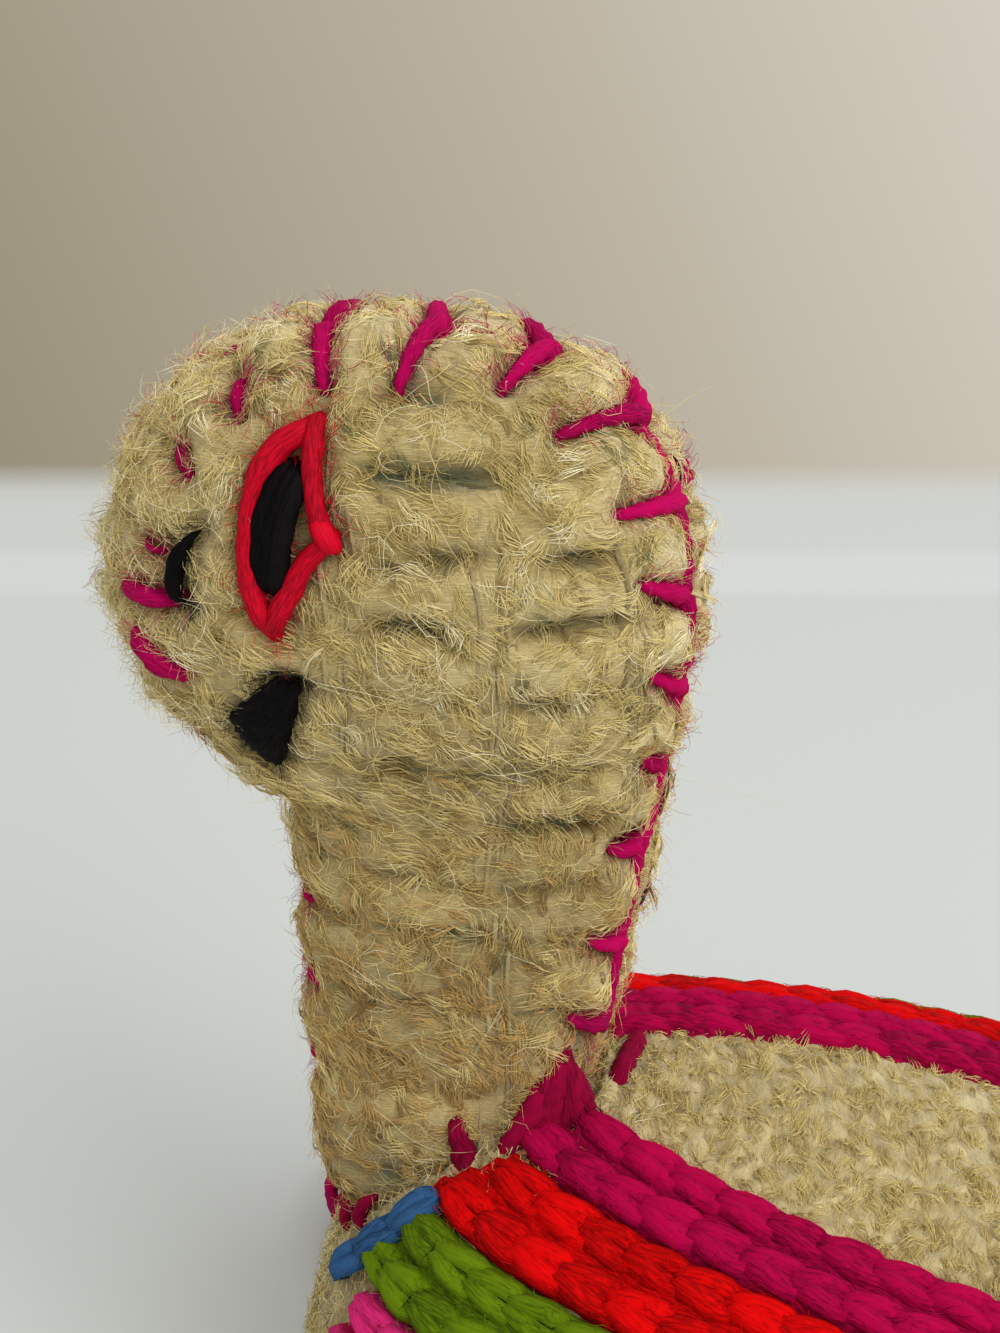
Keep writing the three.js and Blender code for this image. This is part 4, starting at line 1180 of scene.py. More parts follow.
def loop_path(length, width):
    """Middle line of a loop, from its narrow end round the wide end and back: along, aside, up."""
    share = np.arange(RING) / RING * 2
    way = np.where(share <= 1, share, 2 - share)
    sign = np.where(share <= 1, 1, -1)
    along = lerp(-1.5, length - 0.55, np.sin(way * np.pi / 2) ** 1.15)
    aside = sign * width * np.interp(way, [0, 0.15, 0.45, 0.8, 0.93, 1], [0, 0.36, 0.92, 1, 0.72, 0])
    up = np.interp(along, [-1.5, -0.6, 0.6, length * 0.6, length - 0.5], [-0.3, 0.7, 0.9, 0.7, 0.3])
    return np.stack([along, aside, up], -1)


def loop_yarn(path, thick):
    """Points round the yarn of a loop, which is pulled a little flat."""
    angle = np.arange(AROUND) * 2 * np.pi / AROUND
    along = unit(np.roll(path, -1, 0) - np.roll(path, 1, 0))
    side = unit(np.cross([0, 0, 1], along))
    rise = np.cross(along, side)
    return (path[:, None] + side[:, None] * (np.cos(angle) * thick)[:, None]
            + rise[:, None] * (np.sin(angle) * thick * 0.9)[:, None]).reshape(-1, 3)


print("a loop has", len(loop_quads), "faces")


# %% A row of loops
def stitch_row(line, out, radius=0.9, keep=None, seed=0, pitch=LINK, width=0.8):
    """Copies of the loop along a line on the shell, each bent along it, and a tint for each."""
    rng = np.random.default_rng(seed)
    far = far_along(line)
    starts, s = [], rng.uniform(0, 1)
    while s < far[-1] - pitch * 0.6:
        starts.append(s)
        s += pitch * rng.uniform(0.9, 1.1)
    points, tints = [], []
    for s in starts:
        first, middle = place_at(np.array([s - 0.7, s + pitch / 2]), far, line)
        if keep is not None and not keep(middle, first):
            continue
        path = loop_path(pitch * rng.uniform(0.95, 1.06), width * rng.uniform(0.92, 1.08))
        ring = loop_yarn(path, radius * rng.uniform(0.92, 1.08))
        at = s + ring[:, 0]
        place, normal = place_at(at, far, line), place_at(at, far, out)
        ahead = unit(place_at(at + 0.2, far, line) - place_at(at - 0.2, far, line))
        beside = unit(np.cross(normal, ahead))
        # What reaches past an end of the line goes straight on.
        over = np.clip(at, None, 0) + np.clip(at - far[-1], 0, None)
        end = line[-1] - line[-2] if s > far[-1] / 2 else line[1] - line[0]
        place = place + over[:, None] * end / np.linalg.norm(line[1] - line[0])
        points.append(place + beside * ring[:, 1:2] + normal * ring[:, 2:3])
        tints.append(rng.uniform(-1, 1))
    return points, tints


def mirrored(loops, side):
    """Loops on one side of the turtle. The right side's are wound back, so they still face out."""
    loops = [p * [side, 1, 1] for p in loops]
    if side == -1:
        loops = [p.reshape(RING, AROUND, 3)[:, ::-1].reshape(-1, 3) for p in loops]
    return loops


def stitched(name, loops, tints, material):
    """One piece of many loops."""
    start = (np.arange(len(loops)) * RING * AROUND)[:, None, None]
    quads = (loop_quads[None] + start).reshape(-1, 4)
    far = np.repeat(np.arange(RING) * 0.8, AROUND)
    uv = np.stack([far, np.tile(np.abs(np.arange(AROUND) - 2.5) * 0.9, RING)], -1)
    uv = np.concatenate([uv + [9.7 * k, 0] for k in range(len(loops))])
    return build(name, np.concatenate(loops), quads, np.empty((0, 3), int), [material], uv,
                 tint=np.repeat(tints, RING * AROUND))


# %% The five bands of each flank
# Each band's colour, its yarn, how far forward it starts and its room to the neck, both in mm
BANDS = (("magenta", band_magenta_yarn, -60, 0.9), ("red", red_yarn, -60, 0.9),
         ("green", green_yarn, -60, 2.9), ("pink", pink_yarn, -43.8, 4.2),
         ("blue", blue_yarn, -41.4, 4.2))
# The beds end just above the rim, and the middle of the last loop lies a millimetre higher.
BED_ROWS, BED_EDGE, LOOP_EDGE = 20, RIM + 0.6, RIM + 1.6


def started(p, k):
    """The lower rows start further from the neck, so bare cloth shows at the breast."""
    return (p[..., 1] > BANDS[k][2]) & ~neck_hole(p, BANDS[k][3])


def on_flank(middle, first, k):
    """True for a loop that is above the rim, clear of the neck and past its band's start."""
    return middle[2] > LOOP_EDGE and not neck_hole(middle, 1.6) and (k < 2 or started(first, k))


# %% The bed of each band
# Of each bed: its places, directions out and height over the shell, which its fibres need later
band_beds = {}


def bed(colour, material, side, word, k):
    """The yarn under a band's loops, where it passes from stitch to stitch, as a dense strip."""
    lines = np.stack(edges[4 * k:4 * k + 5])
    rows = np.linspace(0, 4, BED_ROWS)
    low = np.clip(rows.astype(int), 0, 3)
    points = lerp(lines[low], lines[low + 1], (rows - low)[:, None, None])
    out = outward(shell_level, points)
    u = cloth_run(points, 1)
    v = np.repeat(rows[:, None] * ROW / 2, points.shape[1], 1)
    raised = 0.75 + 0.2 * waver(u, v, 1.1, 400 + k)
    raised = np.where(points[..., 2] < RIM + 0.8, -0.8, raised)
    raised = np.where(neck_hole(points, 1.3), -0.8, raised)
    raised[[0, -1]] -= 0.9
    place = (points + out * raised[..., None])[::-1, ::side] * [side, 1, 1]
    strip = drape(f"band_{colour}_bed_{word}", place.reshape(-1, 3), u[::-1, ::side],
                  v[::-1, ::side], {"tint": -1 + 0 * u}, material)
    # A lower band's bed starts a little behind its first loop.
    shown = (points[..., 2] > BED_EDGE) & started(points - [0, 2.6 * (k > 1), 0], k)
    trim(strip, ~shown[::-1, ::side])
    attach(strip, "body")
    band_beds[colour, side] = (points * [side, 1, 1], out * [side, 1, 1], np.where(shown, raised, -1))


# %% Beds and loops on both flanks
for side, word in SIDES:
    for k, (colour, material, *_) in enumerate(BANDS):
        bed(colour, material, side, word, k)
        loops, tints = [], []
        for row in (0, 1):
            line = edges[4 * k + 2 * row + 1]
            more, shades = stitch_row(line, outward(shell_level, line),
                                      keep=lambda *places: on_flank(*places, k),
                                      seed=101 + 100 * k + 10 * row + side)
            loops += more
            tints += shades
        band = stitched(f"band_{colour}_stitches_{word}", mirrored(loops, side), tints, material)
        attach(band, "body")
        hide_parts(f"band_{colour}_{word}")
        print(band.name, len(loops), "stitches")

# %% The blue row in front of the neck
def on_dome(x, y):
    """Places of the dome over places on the floor."""
    x, y = np.asarray(x, float), np.asarray(y, float)
    return settle(shell_level, np.stack([x, y, shell_height(x, y)], -1))


front = spaced([(9.6, -43.9, 0), (10.4, -42.6, 0), (11.0, -40.0, 0), (10.5, -37.2, 0)], 48)
for side, word in SIDES:
    line = smoothed(on_dome(front[:, 0], front[:, 1]), 1)
    out = outward(shell_level, line)
    loops, tints = stitch_row(line + out * 0.3, out, seed=7, pitch=3.3, width=0.66, radius=0.78)
    row = stitched(f"front_row_stitches_{word}", mirrored(loops, side), tints, blue_yarn)
    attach(row, "body")
    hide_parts(f"front_row_{word}")
    print(row.name, len(loops), "stitches")

# %% [markdown]
# ## Neck seam, belly and rim
# The neck's root is whipped to the shell with a few magenta stitches that climb a little way up the
# neck. The belly is a shallow bowl of the same cloth as the cover, and a whip stitch of magenta yarn
# goes round the rim where the two meet.

# %% Stitches at the neck's root
# A stitch climbs from the shell onto the neck's side. The six of the peak lie close together.
PEAK = [[(7.3, -33.4, 39.4), (7.2, -32.5, 41.4), (7.0, -31.5, 43.4), (6.8, -30.6, 45.4)],
        [(4.9, -26.8, 39.8), (5.1, -27.6, 41.8), (5.5, -28.3, 43.6), (5.9, -28.8, 45.2)],
        [(6.9, -32.2, 39.6), (6.9, -31.5, 42.0), (6.7, -30.7, 44.4), (6.5, -29.9, 46.6)],
        [(6.7, -30.9, 39.6), (6.7, -30.5, 42.2), (6.6, -30.0, 44.8), (6.5, -29.6, 47.2)],
        [(6.3, -29.6, 39.6), (6.3, -29.5, 42.2), (6.4, -29.4, 44.8), (6.4, -29.3, 47.2)],
        [(5.8, -28.2, 39.6), (5.8, -28.5, 42.0), (6.0, -28.8, 44.0), (6.2, -29.0, 46.0)]]
CLIMBS = [*((points, 0.9) for points in PEAK),
          ([(8.9, -35.7, 37.8), (8.4, -36.2, 40.2), (8.0, -36.8, 42.8)], (1.1, 0.85, 0.55))]
lengths = []
for points, thick in CLIMBS:
    for side in (1, -1):
        path, up = laid(points, 24, side=side, height=-0.1, lift=([0, 0.8, 1], [0, 0, -1.2]))
        lengths.append((path, up, thick))
# Small whip stitches go round the front of the root, where the neck's form meets the shell's.
WHIPS, STEPS = ((1.6, -45.2, 29.9), (4.4, -44.6, 30.9), (6.5, -43.2, 32.8)), 13
for side in (1, -1):
    for mark in WHIPS:
        mark = np.array(mark) * [side, 1, 1]
        skin = outward(shell_level, mark)
        away = np.array([mark[0], mark[1] + 37, 0]) / np.hypot(mark[0], mark[1] + 37)
        down = away - skin * (away @ skin)
        path = [mark + [0.4, 0, 2.0], mark + (skin + away) * 0.5, mark + down * 1.9]
        path = smoothed(spaced(path, STEPS), 3)
        up = np.repeat([(skin + away) / np.linalg.norm(skin + away)], STEPS, 0)
        lift = np.interp(np.linspace(0, 1, STEPS), [0, 0.2, 0.8, 1], [-1.0, -0.25, -0.25, -1.0])
        lengths.append((path + up * lift[:, None], up, (0.35, 0.52, 0.54, 0.5, 0.3)))
# One stitch lies flat behind the neck, and a loose end shows low on the breast.
behind = on_dome([0.6, -2.2, -5.0], [-26.5, -26.0, -25.5])
lengths.append((*laid(behind, 18, height=0.45, level=shell_level), 0.75))
LOOSE_END = [(12.8, -44.2, 27.2), (14.0, -42.8, 28.8), (15.2, -41.7, 29.8)]
for side in (1, -1):
    lengths.append((*laid(LOOSE_END, 14, side=side, height=0.3, level=shell_level), 0.7))
# The neck's yarn is the darker magenta, painted shade at the root.
neck_yarn = yarns("neck_base_stitches", lengths, shaded_magenta_yarn, seed=82, ends=0.8, deep=0.09)
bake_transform(neck_yarn)
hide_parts("neck_base_yarn")
print(len(lengths), "stitches at the neck")

# %% The belly
# FLOOR_ROWS rings of the bowl lie flat on the table, inside the first one that rises.
FLOOR_ROWS, BELLY_RIB = 24, 2.4
heights = RIM * (1 - np.cos(np.linspace(0.0, np.pi / 2, 46)))
points, _, _ = ring_sheet(np.maximum(heights, 0.02), 260)
middle = np.array([0, points[0, :, 1].mean(), 0.02])
inner = np.stack([lerp(middle, points[0], s) for s in np.linspace(0.0, 0.97, FLOOR_ROWS)])
points = np.concatenate([inner, points])
u, v = points[..., 1], points[..., 0]
belly_out = outward(body_level, points)
belly_out[:FLOOR_ROWS] = (0, 0, -1)
ribs = 0.35 * np.abs(np.sin(np.pi * u / BELLY_RIB)) ** 0.7 + 0.2 * waver(u, v, 2.2, 91)
flat = np.clip(points[..., 2] / 3, 0, 1)
belly_place = points + belly_out * ((ribs - 0.2) * flat)[..., None]
belly_place[:FLOOR_ROWS, :, 2] = 0.06 + 0.05 * waver(u[:FLOOR_ROWS], v[:FLOOR_ROWS], 3, 92)
belly_place[..., 2] = np.maximum(belly_place[..., 2], 0.01)
# The ribs are painted lighter, as painted light and shade.
belly = drape("belly_cloth", belly_place.reshape(-1, 3), u, v,
              {"relief": np.clip(0.35 + ribs, 0, 1), "tint": waver(u, v, 9, 93)}, shell_cloth,
              closed=True)
bpy.context.view_layer.objects.active = belly
bpy.ops.object.mode_set(mode="EDIT")
bpy.ops.mesh.select_all(action="SELECT")
bpy.ops.mesh.normals_make_consistent(inside=False)
bpy.ops.object.mode_set(mode="OBJECT")
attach(belly, "body")
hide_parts("belly_panel")
print("belly", len(belly.data.polygons), "faces")

# %% The rim's whip stitch
WHIP = 3.1
rings, runs, _ = ring_sheet(np.array([RIM]), 1200)
rim_line, rim_run = rings[0], runs[0]
rim_out = unit(outward(body_level, rim_line) * [1, 1, 0])
rng = np.random.default_rng(95)
climb = np.linspace(-1, 1, 14)
lengths = []
for far in np.arange(0, rim_run[-1] - 1, WHIP):
    slant = (far + climb * 1.3 + rng.normal(0, 0.15)) % rim_run[-1]
    place, away = place_at(slant, rim_run, rim_line), place_at(slant, rim_run, rim_out)
    bulge = np.sqrt(np.clip(1 - climb**2, 0, 1)) * 1.25 - 0.5
    path = place + away * bulge[:, None] + [0, 0, 1] * (climb * 1.9)[:, None]
    lengths.append((path, unit(away + [0, 0, 0.5] * climb[:, None]), 0.62))
rim = yarns("rim_whip_stitches", lengths, magenta_yarn, seed=96, ends=0.7, sides=8)
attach(rim, "body")
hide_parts("rim_seam_yarn")
print(len(lengths), "whip stitches")

# %% [markdown]
# ## Legs and tail
# Four paddles and a short tail are sewn on under the rim, each of two scraps of the cloth, stuffed
# and edged with blanket stitch. Each is a sheet wrapped round a flat oval ball and closed at its
# poles, with the ribs of the cloth raised across it.

# %% One paddle
# From one rib, bundle of warp or stitch of the edge to the next, in mm
PADDLE_RIB, PADDLE_WARP, PADDLE_STITCH = 3.1, 6.5, 3.6


def paddle_form(middle, half, turn, lean):
    """Place and direction out on a paddle: turn is round its edge, lean from the edge upwards."""
    edge = np.stack([half[0] * np.cos(turn), half[1] * np.sin(turn), 0 * turn], -1)
    rise = np.stack([0 * lean, 0 * lean, half[2] * np.sin(lean)], -1)
    point = edge * np.cos(lean)[..., None] + rise
    return point + [middle, 0, 0], unit(point / np.array(half) ** 2)


def paddle(name, body, middle, half, place, heading, nodes, seed):
    """A stuffed paddle at a hinge, with its long way along a heading on the floor."""
    turn, lean = np.meshgrid(np.linspace(0, 2 * np.pi, 150), np.linspace(-np.pi / 2, np.pi / 2, 90))
    point, out = paddle_form(middle, half, turn, lean)
    u, v = point[..., 1], point[..., 0]
    wave = v + 0.3 * waver(u, v, 5, seed)
    gap_at = np.abs((wave / PADDLE_RIB) % 1 * 2 - 1)
    rib = np.clip(1 - gap_at**2.6, 0, 1) ** 0.6
    warp = np.exp(-((u - np.round(u / PADDLE_WARP) * PADDLE_WARP) / 0.9) ** 2)
    edge = np.exp(-(lean * half[2] / 1.3) ** 2)
    height = (0.7 * rib * (1 - 0.4 * warp) + 0.15 * waver(u, v, 1.1, seed + 1)) * (1 - 0.8 * edge)
    height = height - 0.45 - 0.5 * edge
    draped = point + out * height[..., None]
    x_way = np.array([heading[0], heading[1], 0])
    y_way = np.array([-heading[1], heading[0], 0])

    def swung(p, start=0):
        """Places from the hinge, or directions where no start is given, turned to the heading."""
        return start + p[..., :1] * x_way + p[..., 1:2] * y_way + p[..., 2:] * [0, 0, 1]

    draped = swung(draped, place)
    # The ribs are painted lighter and the stitched edge darker, as painted light and shade.
    relief = np.clip(0.3 + 0.45 * rib - 0.2 * edge, 0, 1)
    shades = {"relief": relief, "tint": waver(u, v, 6, seed + 2)}
    piece = drape(name, draped.reshape(-1, 3), u, v, shades, thick_cloth, closed=True)
    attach(piece, body)
    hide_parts(*nodes[:-1])
    rng = np.random.default_rng(seed)
    count = int(round(np.pi * (half[0] + half[1]) * 1.02 / PADDLE_STITCH))
    lengths = []
    for k in range(count):
        at = (k + 0.5) * 2 * np.pi / count + rng.normal(0, 0.03)
        way = np.linspace(-1.15, 1.15, 15)
        reach = np.minimum(2.6 / half[2], 0.85)
        path, up = paddle_form(middle, half, at + way * rng.normal(0, 0.03), way * reach)
        sink = np.interp(np.abs(way), [0, 0.6, 0.95, 1.15], [0.25, 0.2, 0.0, -0.9])
        lengths.append((swung(path + up * sink[:, None], place), swung(up), 0.55))
    around = np.linspace(0, 2 * np.pi, 160)
    path, up = paddle_form(middle, half, around, 0 * around)
    lengths.append((swung(path + up * 0.15, place), swung(up), 0.6))
    edging = yarns(name.replace("cloth", "stitches"), lengths, magenta_yarn, seed=seed, sides=8,
                   ends=0.7)
    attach(edging, body)
    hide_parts(nodes[-1])
    print(name, len(piece.data.polygons), "faces,", count, "stitches")
    return {"points": draped, "out": swung(out), "u": u, "v": v, "relief": relief, "edge": edge}


# %% All five of them
# Each is the body it rides on, how far its middle lies from the hinge along its heading, its half
# length, width and height, all in mm, its heading on the floor, and its seed.
LIMBS = [(f"leg_{end}_{word}", 7.8, (11, 8, 4.5), (across * side, along), seed + side)
         for end, across, along, seed in (("front", 0.720071, -0.6939, 200),
                                          ("rear", 0.748242, 0.663426, 220))
         for side, word in SIDES] + [("tail", 4.6, (7, 4, 4), (0, 1), 240)]
paddles = {}
for body, middle, half, heading, seed in LIMBS:
    nodes = [f"{body}_{part}" for part in ("upper_panel", "lower_panel", "fill", "edge_yarn")]
    hinge = np.array(joints[body]["pos_m"]) * 1000
    paddles[body] = paddle(f"{body}_cloth", body, middle, half, hinge, heading, nodes, seed)

# %% [markdown]
# ## The coat of fibres
# Close to, this wool has no clean edge: every rib is a bundle of fibres that arc over it, hundreds
# stand up from it, and a few long ones wander. Each fibre is a thin closed spike of a few faces. They
# are combed over the cloth by its own grid: aslant over the ribs, along the warp threads between
# them, and straight out from the seam. Its colour is painted light and shade by where its root
# lies: darker deep in the weave, paler high on it.

# %% Which way the wool lies
def lie(cut):
    """The fibres' heading over a head panel, in radians from its rows."""
    across, upward = cell_sizes(cut["bare"])
    rise_v = np.gradient(cut["apart"], axis=0) / np.maximum(upward, 0.03)
    rise_u = np.gradient(cut["apart"], axis=1) / np.maximum(across, 0.03)
    seam_way = np.arctan2(rise_v, rise_u)
    u, v = cut["u"], cut["v"]
    slant = -0.6 + 1.1 * waver(u, v, 3.4, 301) + 0.9 * waver(u, v, 1.3, 302)
    ways = ((1.0, slant), (2.4 * cut["warp"], np.full(slant.shape, np.pi / 2)),
            (1.8 * np.exp(-(cut["apart"] / 3.0) ** 2), seam_way))
    cosine = sum(weight * np.cos(2 * way) for weight, way in ways)
    sine = sum(weight * np.sin(2 * way) for weight, way in ways)
    return np.arctan2(sine, cosine) / 2


def shade_at(field, root, spread, rng, low, high):
    """A fibre's tone, as a place in the list of materials, from the relief at its root."""
    tone = lerp(low, high, np.clip(between(field, *root), 0, 1))
    return tone + rng.normal(0, spread, len(root[0]))


# %% The head's locks
# Locks and fibres in each, their length in mm, how far they stray from the heading, how wide a lock
# is, how thick a fibre is, and how it is combed
LAYERS = (
    ("under", 1480, 11, (1.6, 3.4), 0.35, 0.42, (0.055, 0.1),
     dict(steps=3, lift=(0.0, 0.2), curl=0.3, hump=0.25, sway=0.4)),
    ("over", 620, 9, (1.6, 3.4), 0.6, 0.3, (0.04, 0.07),
     dict(steps=5, lift=(0.1, 0.9), curl=0.55, hump=0.4, sway=0.9)),
    ("curled", 2700, 1, (1.2, 3.6), 0.9, 0.1, (0.035, 0.06),
     dict(steps=6, lift=(0.1, 1.1), curl=1.0, hump=0.45, sway=1.0)))
BROWN_SHADE, BROWN, PALEST = 7, 8, 6.9


def head_shades(tone, up, root, each, k, rng):
    """Tones of a layer's fibres: by the relief, calmer low on the neck, and some brown there."""
    # Painted light and shade: paler where the root lies high, darker where it lies deep, and the upper
    # layers a little paler.
    shade = shade_at(tone, root, 1.0, rng, 1.0 + 0.3 * k, 6.1 + 0.3 * k)
    shade = lerp(3.2, shade, np.interp(up, [50, 68], [0.55, 1.0]))
    # Low on the neck some fibres turn brown, as painted shade.
    brown = rng.uniform(0, 1, len(up)) < np.clip((72 - up) / 22, 0, 0.8)
    shade = np.where(brown & (shade < 4.0), np.where(shade < 2.3, BROWN_SHADE, BROWN),
                     np.clip(shade, 0, 6.6))
    shade = np.repeat(shade, each)
    varied = np.clip(shade + rng.normal(0, 0.55, len(shade)), 0, PALEST)
    return np.where(shade >= BROWN_SHADE, shade, varied)


# %% The head's coat
# The photo's side, the left, gets the full coat, and the right side about half as many fibres.
for side, word, share in ((1, "left", 1.0), (-1, "right", 0.52)):
    cut = heads[side]
    places, out = cut["points"], cut["out"]
    rng = np.random.default_rng(310 + side)
    outside = np.clip((cut["z"] - 29.5) / 3, 0.0, 1)
    bare = np.maximum(np.exp(-(cut["face"] / 1.0) ** 2), 0.6 * np.clip(cut["hole"] * 2, 0, 1))
    loft = np.clip(0.55 + 0.9 * waver(cut["u"], cut["v"], 1.1, 305 + side), 0.05, 1.5)
    sheet = guide(places, out, outside * (1 - 0.85 * bare) * (1 - 0.35 * cut["warp"]), loft)
    way = lie(cut)
    tone = 0.85 * cut["relief"] + 0.1 * cut["tint"] + 0.2 * cut["bundle"]
    for k, (kind, count, each, length, spread, wide, width, how) in enumerate(LAYERS):
        paths, ups, root = locks(sheet, int(count * share), each, length, way, spread,
                                 320 + 7 * k + side, wide, **how)
        shade = head_shades(tone, between(cut["z"], *root), root, each, k, rng)
        coat = fibres(f"head_fibres_{kind}_{word}", paths, ups, width, shade, cream_fibres, 330 + k)
        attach(coat, "head")
    # A few long hairs wander over the wool.
    paths, ups, _ = comb(sheet, int(420 * share), (3, 10), way, 1.2, 340 + side, 9, (0.2, 1.8),
                         0.5, 0.6, 1.5)
    coat = fibres(f"head_fibres_stray_{word}", paths, ups, (0.035, 0.06),
                  rng.uniform(3.8, PALEST, len(paths)), cream_fibres, 341)
    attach(coat, "head")
    # Fine ones stand up all over it, most of all at the nose.
    nose = np.clip((-47 - cut["bare"][..., 1]) / 6, 0, 1) * np.clip((cut["z"] - 68) / 5, 0, 1)
    halo = guide(places, out, (0.12 + nose) * outside * (1 - bare))
    paths, ups, _ = comb(halo, int(2300 * share), (1.2, 3.2), way, 1.5, 345 + side, 5, (0.5, 2.0),
                         0.8, 0.4, 1.0)
    coat = fibres(f"head_fibres_halo_{word}", paths, ups, (0.03, 0.05),
                  rng.uniform(2, 6.6, len(paths)), cream_fibres, 346)
    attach(coat, "head")
    # Dyed ones come off the yarns of the seam, the mouth and the eye.
    by_seam = 0.6 * np.exp(-(cut["apart"] / 0.9) ** 2) * outside
    near = guide(places + out * 0.5, out, np.exp(-(cut["legs"] / 0.9) ** 2) + by_seam)
    paths, ups, _ = comb(near, int(2800 * share), (0.8, 2.4), way, 1.2, 350 + side, 4, (0.1, 0.8),
                         0.9, 0.4, 1.2)
    haze = fibres(f"head_fibres_magenta_{word}", paths, ups, (0.03, 0.05),
                  rng.choice([0, 1, 2, 3, 3], len(paths)), dyed["magenta"] + [stained], 351)
    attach(haze, "head")
    for kind, tones, spread in (("mouth", black_fibres, 0.75), ("eye", eye_fibres, 0.95)):
        near = guide(places + out * 0.6, out, np.exp(-(cut[kind] / spread) ** 4))
        paths, ups, _ = comb(near, 420, (0.8, 2.2), way, 1.5, 353 + side, 4, (0.1, 0.9), 0.9,
                             0.3, 1.2)
        haze = fibres(f"{kind}_fibres_{word}", paths, ups, (0.03, 0.05),
                      rng.integers(0, len(tones), len(paths)), tones, 354)
        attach(haze, "head")
print("head fibres combed")

# %% The spine's coat
rng = np.random.default_rng(360)
u, v = spine["u"], spine["v"]
open_cloth = np.where(neck_hole(spine["points"], 0.2), 0.0, 1.0)
inner_rows = np.abs(np.linspace(-1, 1, SPINE_ROWS))[:, None] < 0.95
loft = np.clip(0.7 + 0.9 * waver(u, v, 1.2, 359), 0.05, 1.6)
sheet = guide(spine["points"], spine["out"], open_cloth * inner_rows, loft)
# Fibres on the crests are paler, as painted light.
crests = 0.75 * spine["relief"] + 0.15 * waver(u, v, 1.5, 361)
for k, (kind, count, each, length, lift) in enumerate((
        ("under", 1300, 9, (1.0, 2.2), (0.02, 0.4)), ("over", 820, 8, (0.9, 2.2), (0.1, 0.9)))):
    paths, ups, root = locks(sheet, count, each, length, 1.5, 0.5, 362 + k, 0.35, steps=3 + k,
                             lift=lift, curl=0.6, hump=0.3, sway=0.5)
    shade = np.repeat(shade_at(crests, root, 0.35, rng, 1.6, 5.6), each)
    shade = np.clip(shade + rng.normal(0, 0.6, len(shade)), 0, PALEST)
    coat = fibres(f"spine_fibres_{kind}", paths, ups, (0.045, 0.08), shade, cream_fibres, 364)
    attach(coat, "body")
print("spine fibres combed")

# %% The breast's and the belly's coats
outside = np.where(head_level(dome_points) < 0.03, 0.0, 1.0)
bare = np.clip((-39 - dome_points[..., 1]) / 3, neck_hole(dome_points, 4.5), 1) * outside
breast = guide(dome_points + dome_out * 0.2, dome_out, bare)
under = guide(belly_place, belly_out, np.clip(belly_place[..., 2] / 3, 0, 1))
for name, sheet, count in (("breast_fibres", breast, 3600), ("belly_fibres", under, 5000)):
    paths, ups, _ = comb(sheet, count, (1.0, 2.8), 0.9, 1.0, 366, 3, (0.05, 0.9), 0.8, 0.3)
    coat = fibres(name, paths, ups, (0.05, 0.09), rng.uniform(0.6, 6.2, count), cream_fibres, 367)
    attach(coat, "body")
    print(name, len(coat.data.polygons), "faces")

# %% The bands' coat
for side, word in SIDES:
    for k, (colour, *_) in enumerate(BANDS):
        points, out, raised = band_beds[colour, side]
        sheet = guide(points + out * 1.25, out, (raised > 0).astype(float))
        paths, ups, _ = comb(sheet, 1300, (0.8, 2.2), 0.1, 0.5, 370 + 2 * k + side, 3, (0.0, 0.4),
                             0.7, 0.3)
        coat = fibres(f"band_{colour}_fibres_{word}", paths, ups, (0.04, 0.07),
                      rng.choice([0, 1, 1, 2], len(paths)), dyed[colour], 371)
        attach(coat, "body")
print(2 * len(BANDS), "bands combed")

# %% The limbs' coat
for k, (body, limb) in enumerate(paddles.items()):
    rng = np.random.default_rng(380 + k)
    count = 900 if body == "tail" else 2600
    sheet = guide(limb["points"], limb["out"], 1 - 0.6 * limb["edge"])
    # Fibres are paler on the ribs and darker at the edge, as painted light and shade.
    tone = 0.9 * limb["relief"] + 0.15 * waver(limb["u"], limb["v"], 1.4, 381)
    paths, ups, root = comb(sheet, count, (1.2, 3.0), 0.3, 1.0, 382 + k, 3, (0.05, 0.7), 0.5, 0.25)
    shade = np.minimum(shade_at(tone, root, 0.8, rng, 0.6, 5.4), PALEST)
    coat = fibres(f"{body}_fibres", paths, ups, (0.05, 0.09), shade, cream_fibres, 383)
    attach(coat, body)
print(len(paddles), "limbs combed")

# %% [markdown]
# ## Table, light and camera
# The toy stands on a pale table in front of a beige wall. The wall is only what the camera sees of
# the world, so the light on the wool stays neutral. One large soft lamp stands for the window.

# %% The table
# The table ends FAR_EDGE metres behind the turtle. Its corners are given along the camera's view and
# across it.
FAR_EDGE = 0.2286
ahead, beside = np.array([-0.990, -0.139, 0]), np.array([-0.139, 0.990, 0])
bpy.ops.object.select_all(action="DESELECT")
bpy.ops.mesh.primitive_plane_add(size=1)
table = bpy.context.object
table.name = "table"
corners = [a * ahead + b * beside for a, b in ((FAR_EDGE, -2), (-2, -2), (FAR_EDGE, 2), (-2, 2))]
table.data.vertices.foreach_set("co", np.array(corners, np.float32).ravel())
material, tree, skin = blank("pale table", 0.5, 0)
place = tree.nodes.new("ShaderNodeTexCoord")
away = linked(tree, "ShaderNodeVectorMath", _0=place.outputs["Object"], _1=ahead)
away.operation = "DOT_PRODUCT"
far = linked(tree, "ShaderNodeMapRange", Value=away.outputs["Value"], From_Min=0.17,
             From_Max=FAR_EDGE)
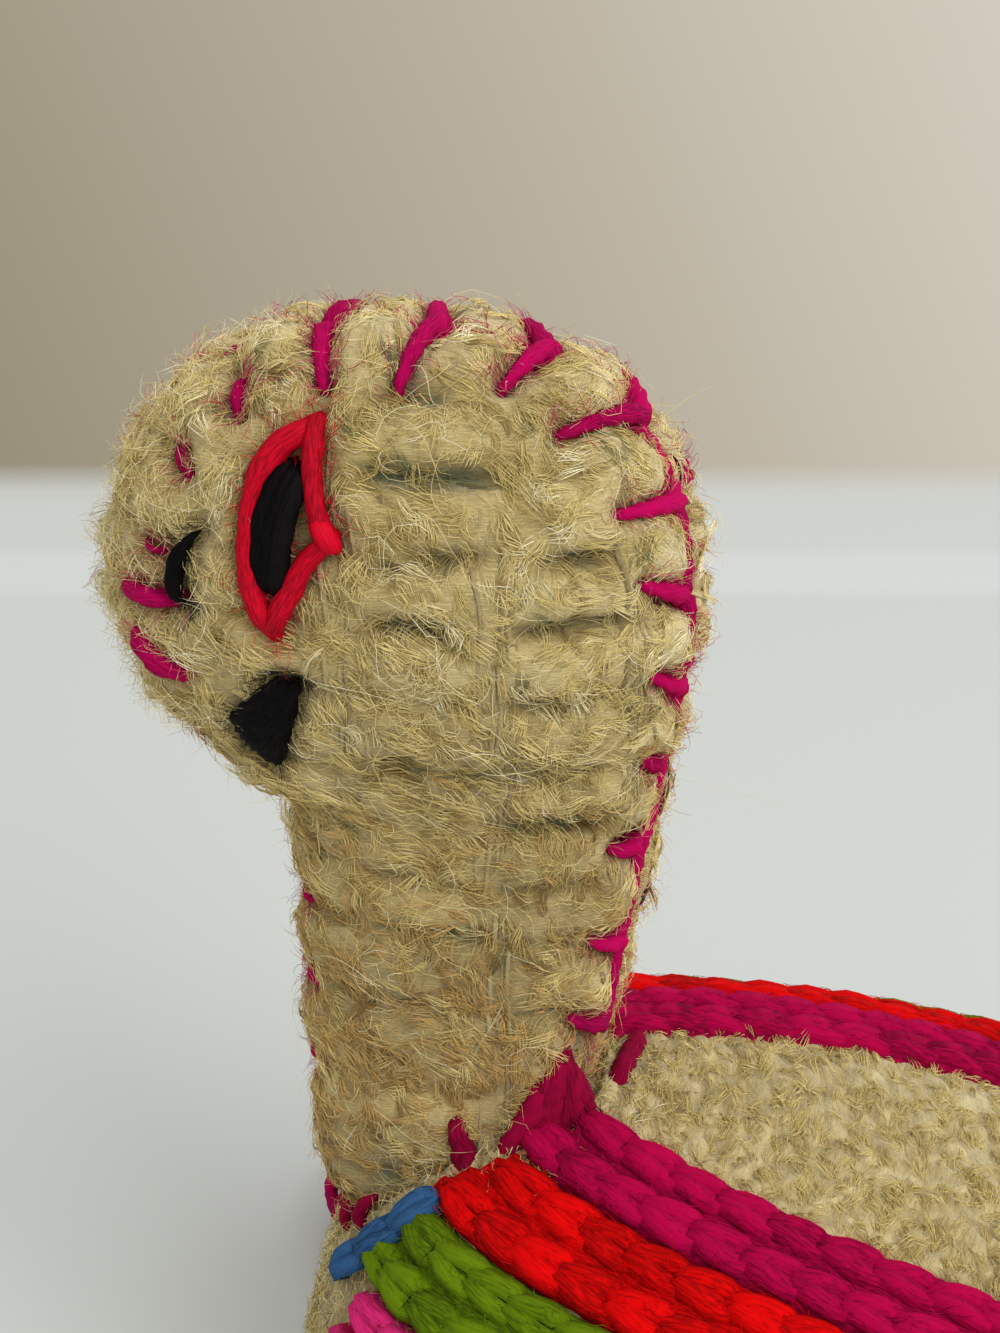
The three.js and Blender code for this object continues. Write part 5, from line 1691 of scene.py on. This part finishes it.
# A band of the table just before its far edge is painted a little brighter, as painted light.
pale, painted_sheen = wool(201, 205, 201), wool(207, 211, 209)
top = ramp(tree, far.outputs[0], (0.1, pale), (0.16, painted_sheen), (0.36, painted_sheen), (0.42, pale))
tree.links.new(top, skin.inputs["Base Color"])
fade = ramp(tree, far.outputs[0], (0.68, (1, 1, 1, 1)), (0.8, (0.9, 0.9, 0.9, 1)), (1, (0, 0, 0, 1)))
tree.links.new(fade, skin.inputs["Alpha"])
table.data.materials.append(material)
print("table edge", FAR_EDGE, "m behind the turtle")

# %% World and lamp
world = bpy.data.worlds.new("room")
bpy.context.scene.world = world
world.use_nodes = True
tree = world.node_tree
tree.nodes.clear()
room = linked(tree, "ShaderNodeBackground", Color=wool(252, 251, 250), Strength=0.85)
way = tree.nodes.new("ShaderNodeTexCoord")
slope = linked(tree, "ShaderNodeVectorMath", _0=way.outputs["Generated"], _1=(-0.2, 1.9, 0.9))
slope.operation = "DOT_PRODUCT"
grade = maths(tree, "ADD", slope.outputs["Value"], 0.78)
beige = ramp(tree, grade, (0.0, wool(152, 143, 122)), (0.5, wool(184, 175, 157)),
             (1.0, wool(214, 207, 194)))
wall = linked(tree, "ShaderNodeBackground", Strength=1.0, Color=beige)
rays = tree.nodes.new("ShaderNodeLightPath")
seen = maths(tree, "MAXIMUM", rays.outputs["Is Camera Ray"], rays.outputs["Is Glossy Ray"])
seen = maths(tree, "MAXIMUM", seen, rays.outputs["Is Transmission Ray"])
choose = linked(tree, "ShaderNodeMixShader", _0=seen, _1=room.outputs[0], _2=wall.outputs[0])
linked(tree, "ShaderNodeOutputWorld", Surface=choose.outputs[0])


def lamp(name, place, target, size, watts):
    """A square lamp that faces a target."""
    light = bpy.data.lights.new(name, "AREA")
    light.size, light.energy = size, watts
    stand = bpy.data.objects.new(name, light)
    bpy.context.scene.collection.objects.link(stand)
    stand.location = place
    way = np.array(target) - np.array(place)
    stand.rotation_euler = (math.acos(-way[2] / np.linalg.norm(way)), 0,
                            math.atan2(way[1], way[0]) - math.pi / 2)
    print(name, size, "m wide,", watts, "W")


lamp("window", (0.35, 0.35, 0.55), (0, -0.03, 0.05), 0.4, 3.2)

# %% The camera
AZIMUTH, ELEVATION = 98, 26
camera = bpy.data.objects.new("camera", bpy.data.cameras.new("camera"))
bpy.context.scene.collection.objects.link(camera)
camera.location = (0.13745, -0.01545, 0.14046)
camera.rotation_euler = (math.radians(90 - ELEVATION), 0, math.radians(AZIMUTH))
camera.data.lens, camera.data.sensor_width = 64.8, 36
camera.data.clip_start = 0.005
bpy.context.scene.camera = camera
bpy.context.scene.view_settings.view_transform = "Standard"
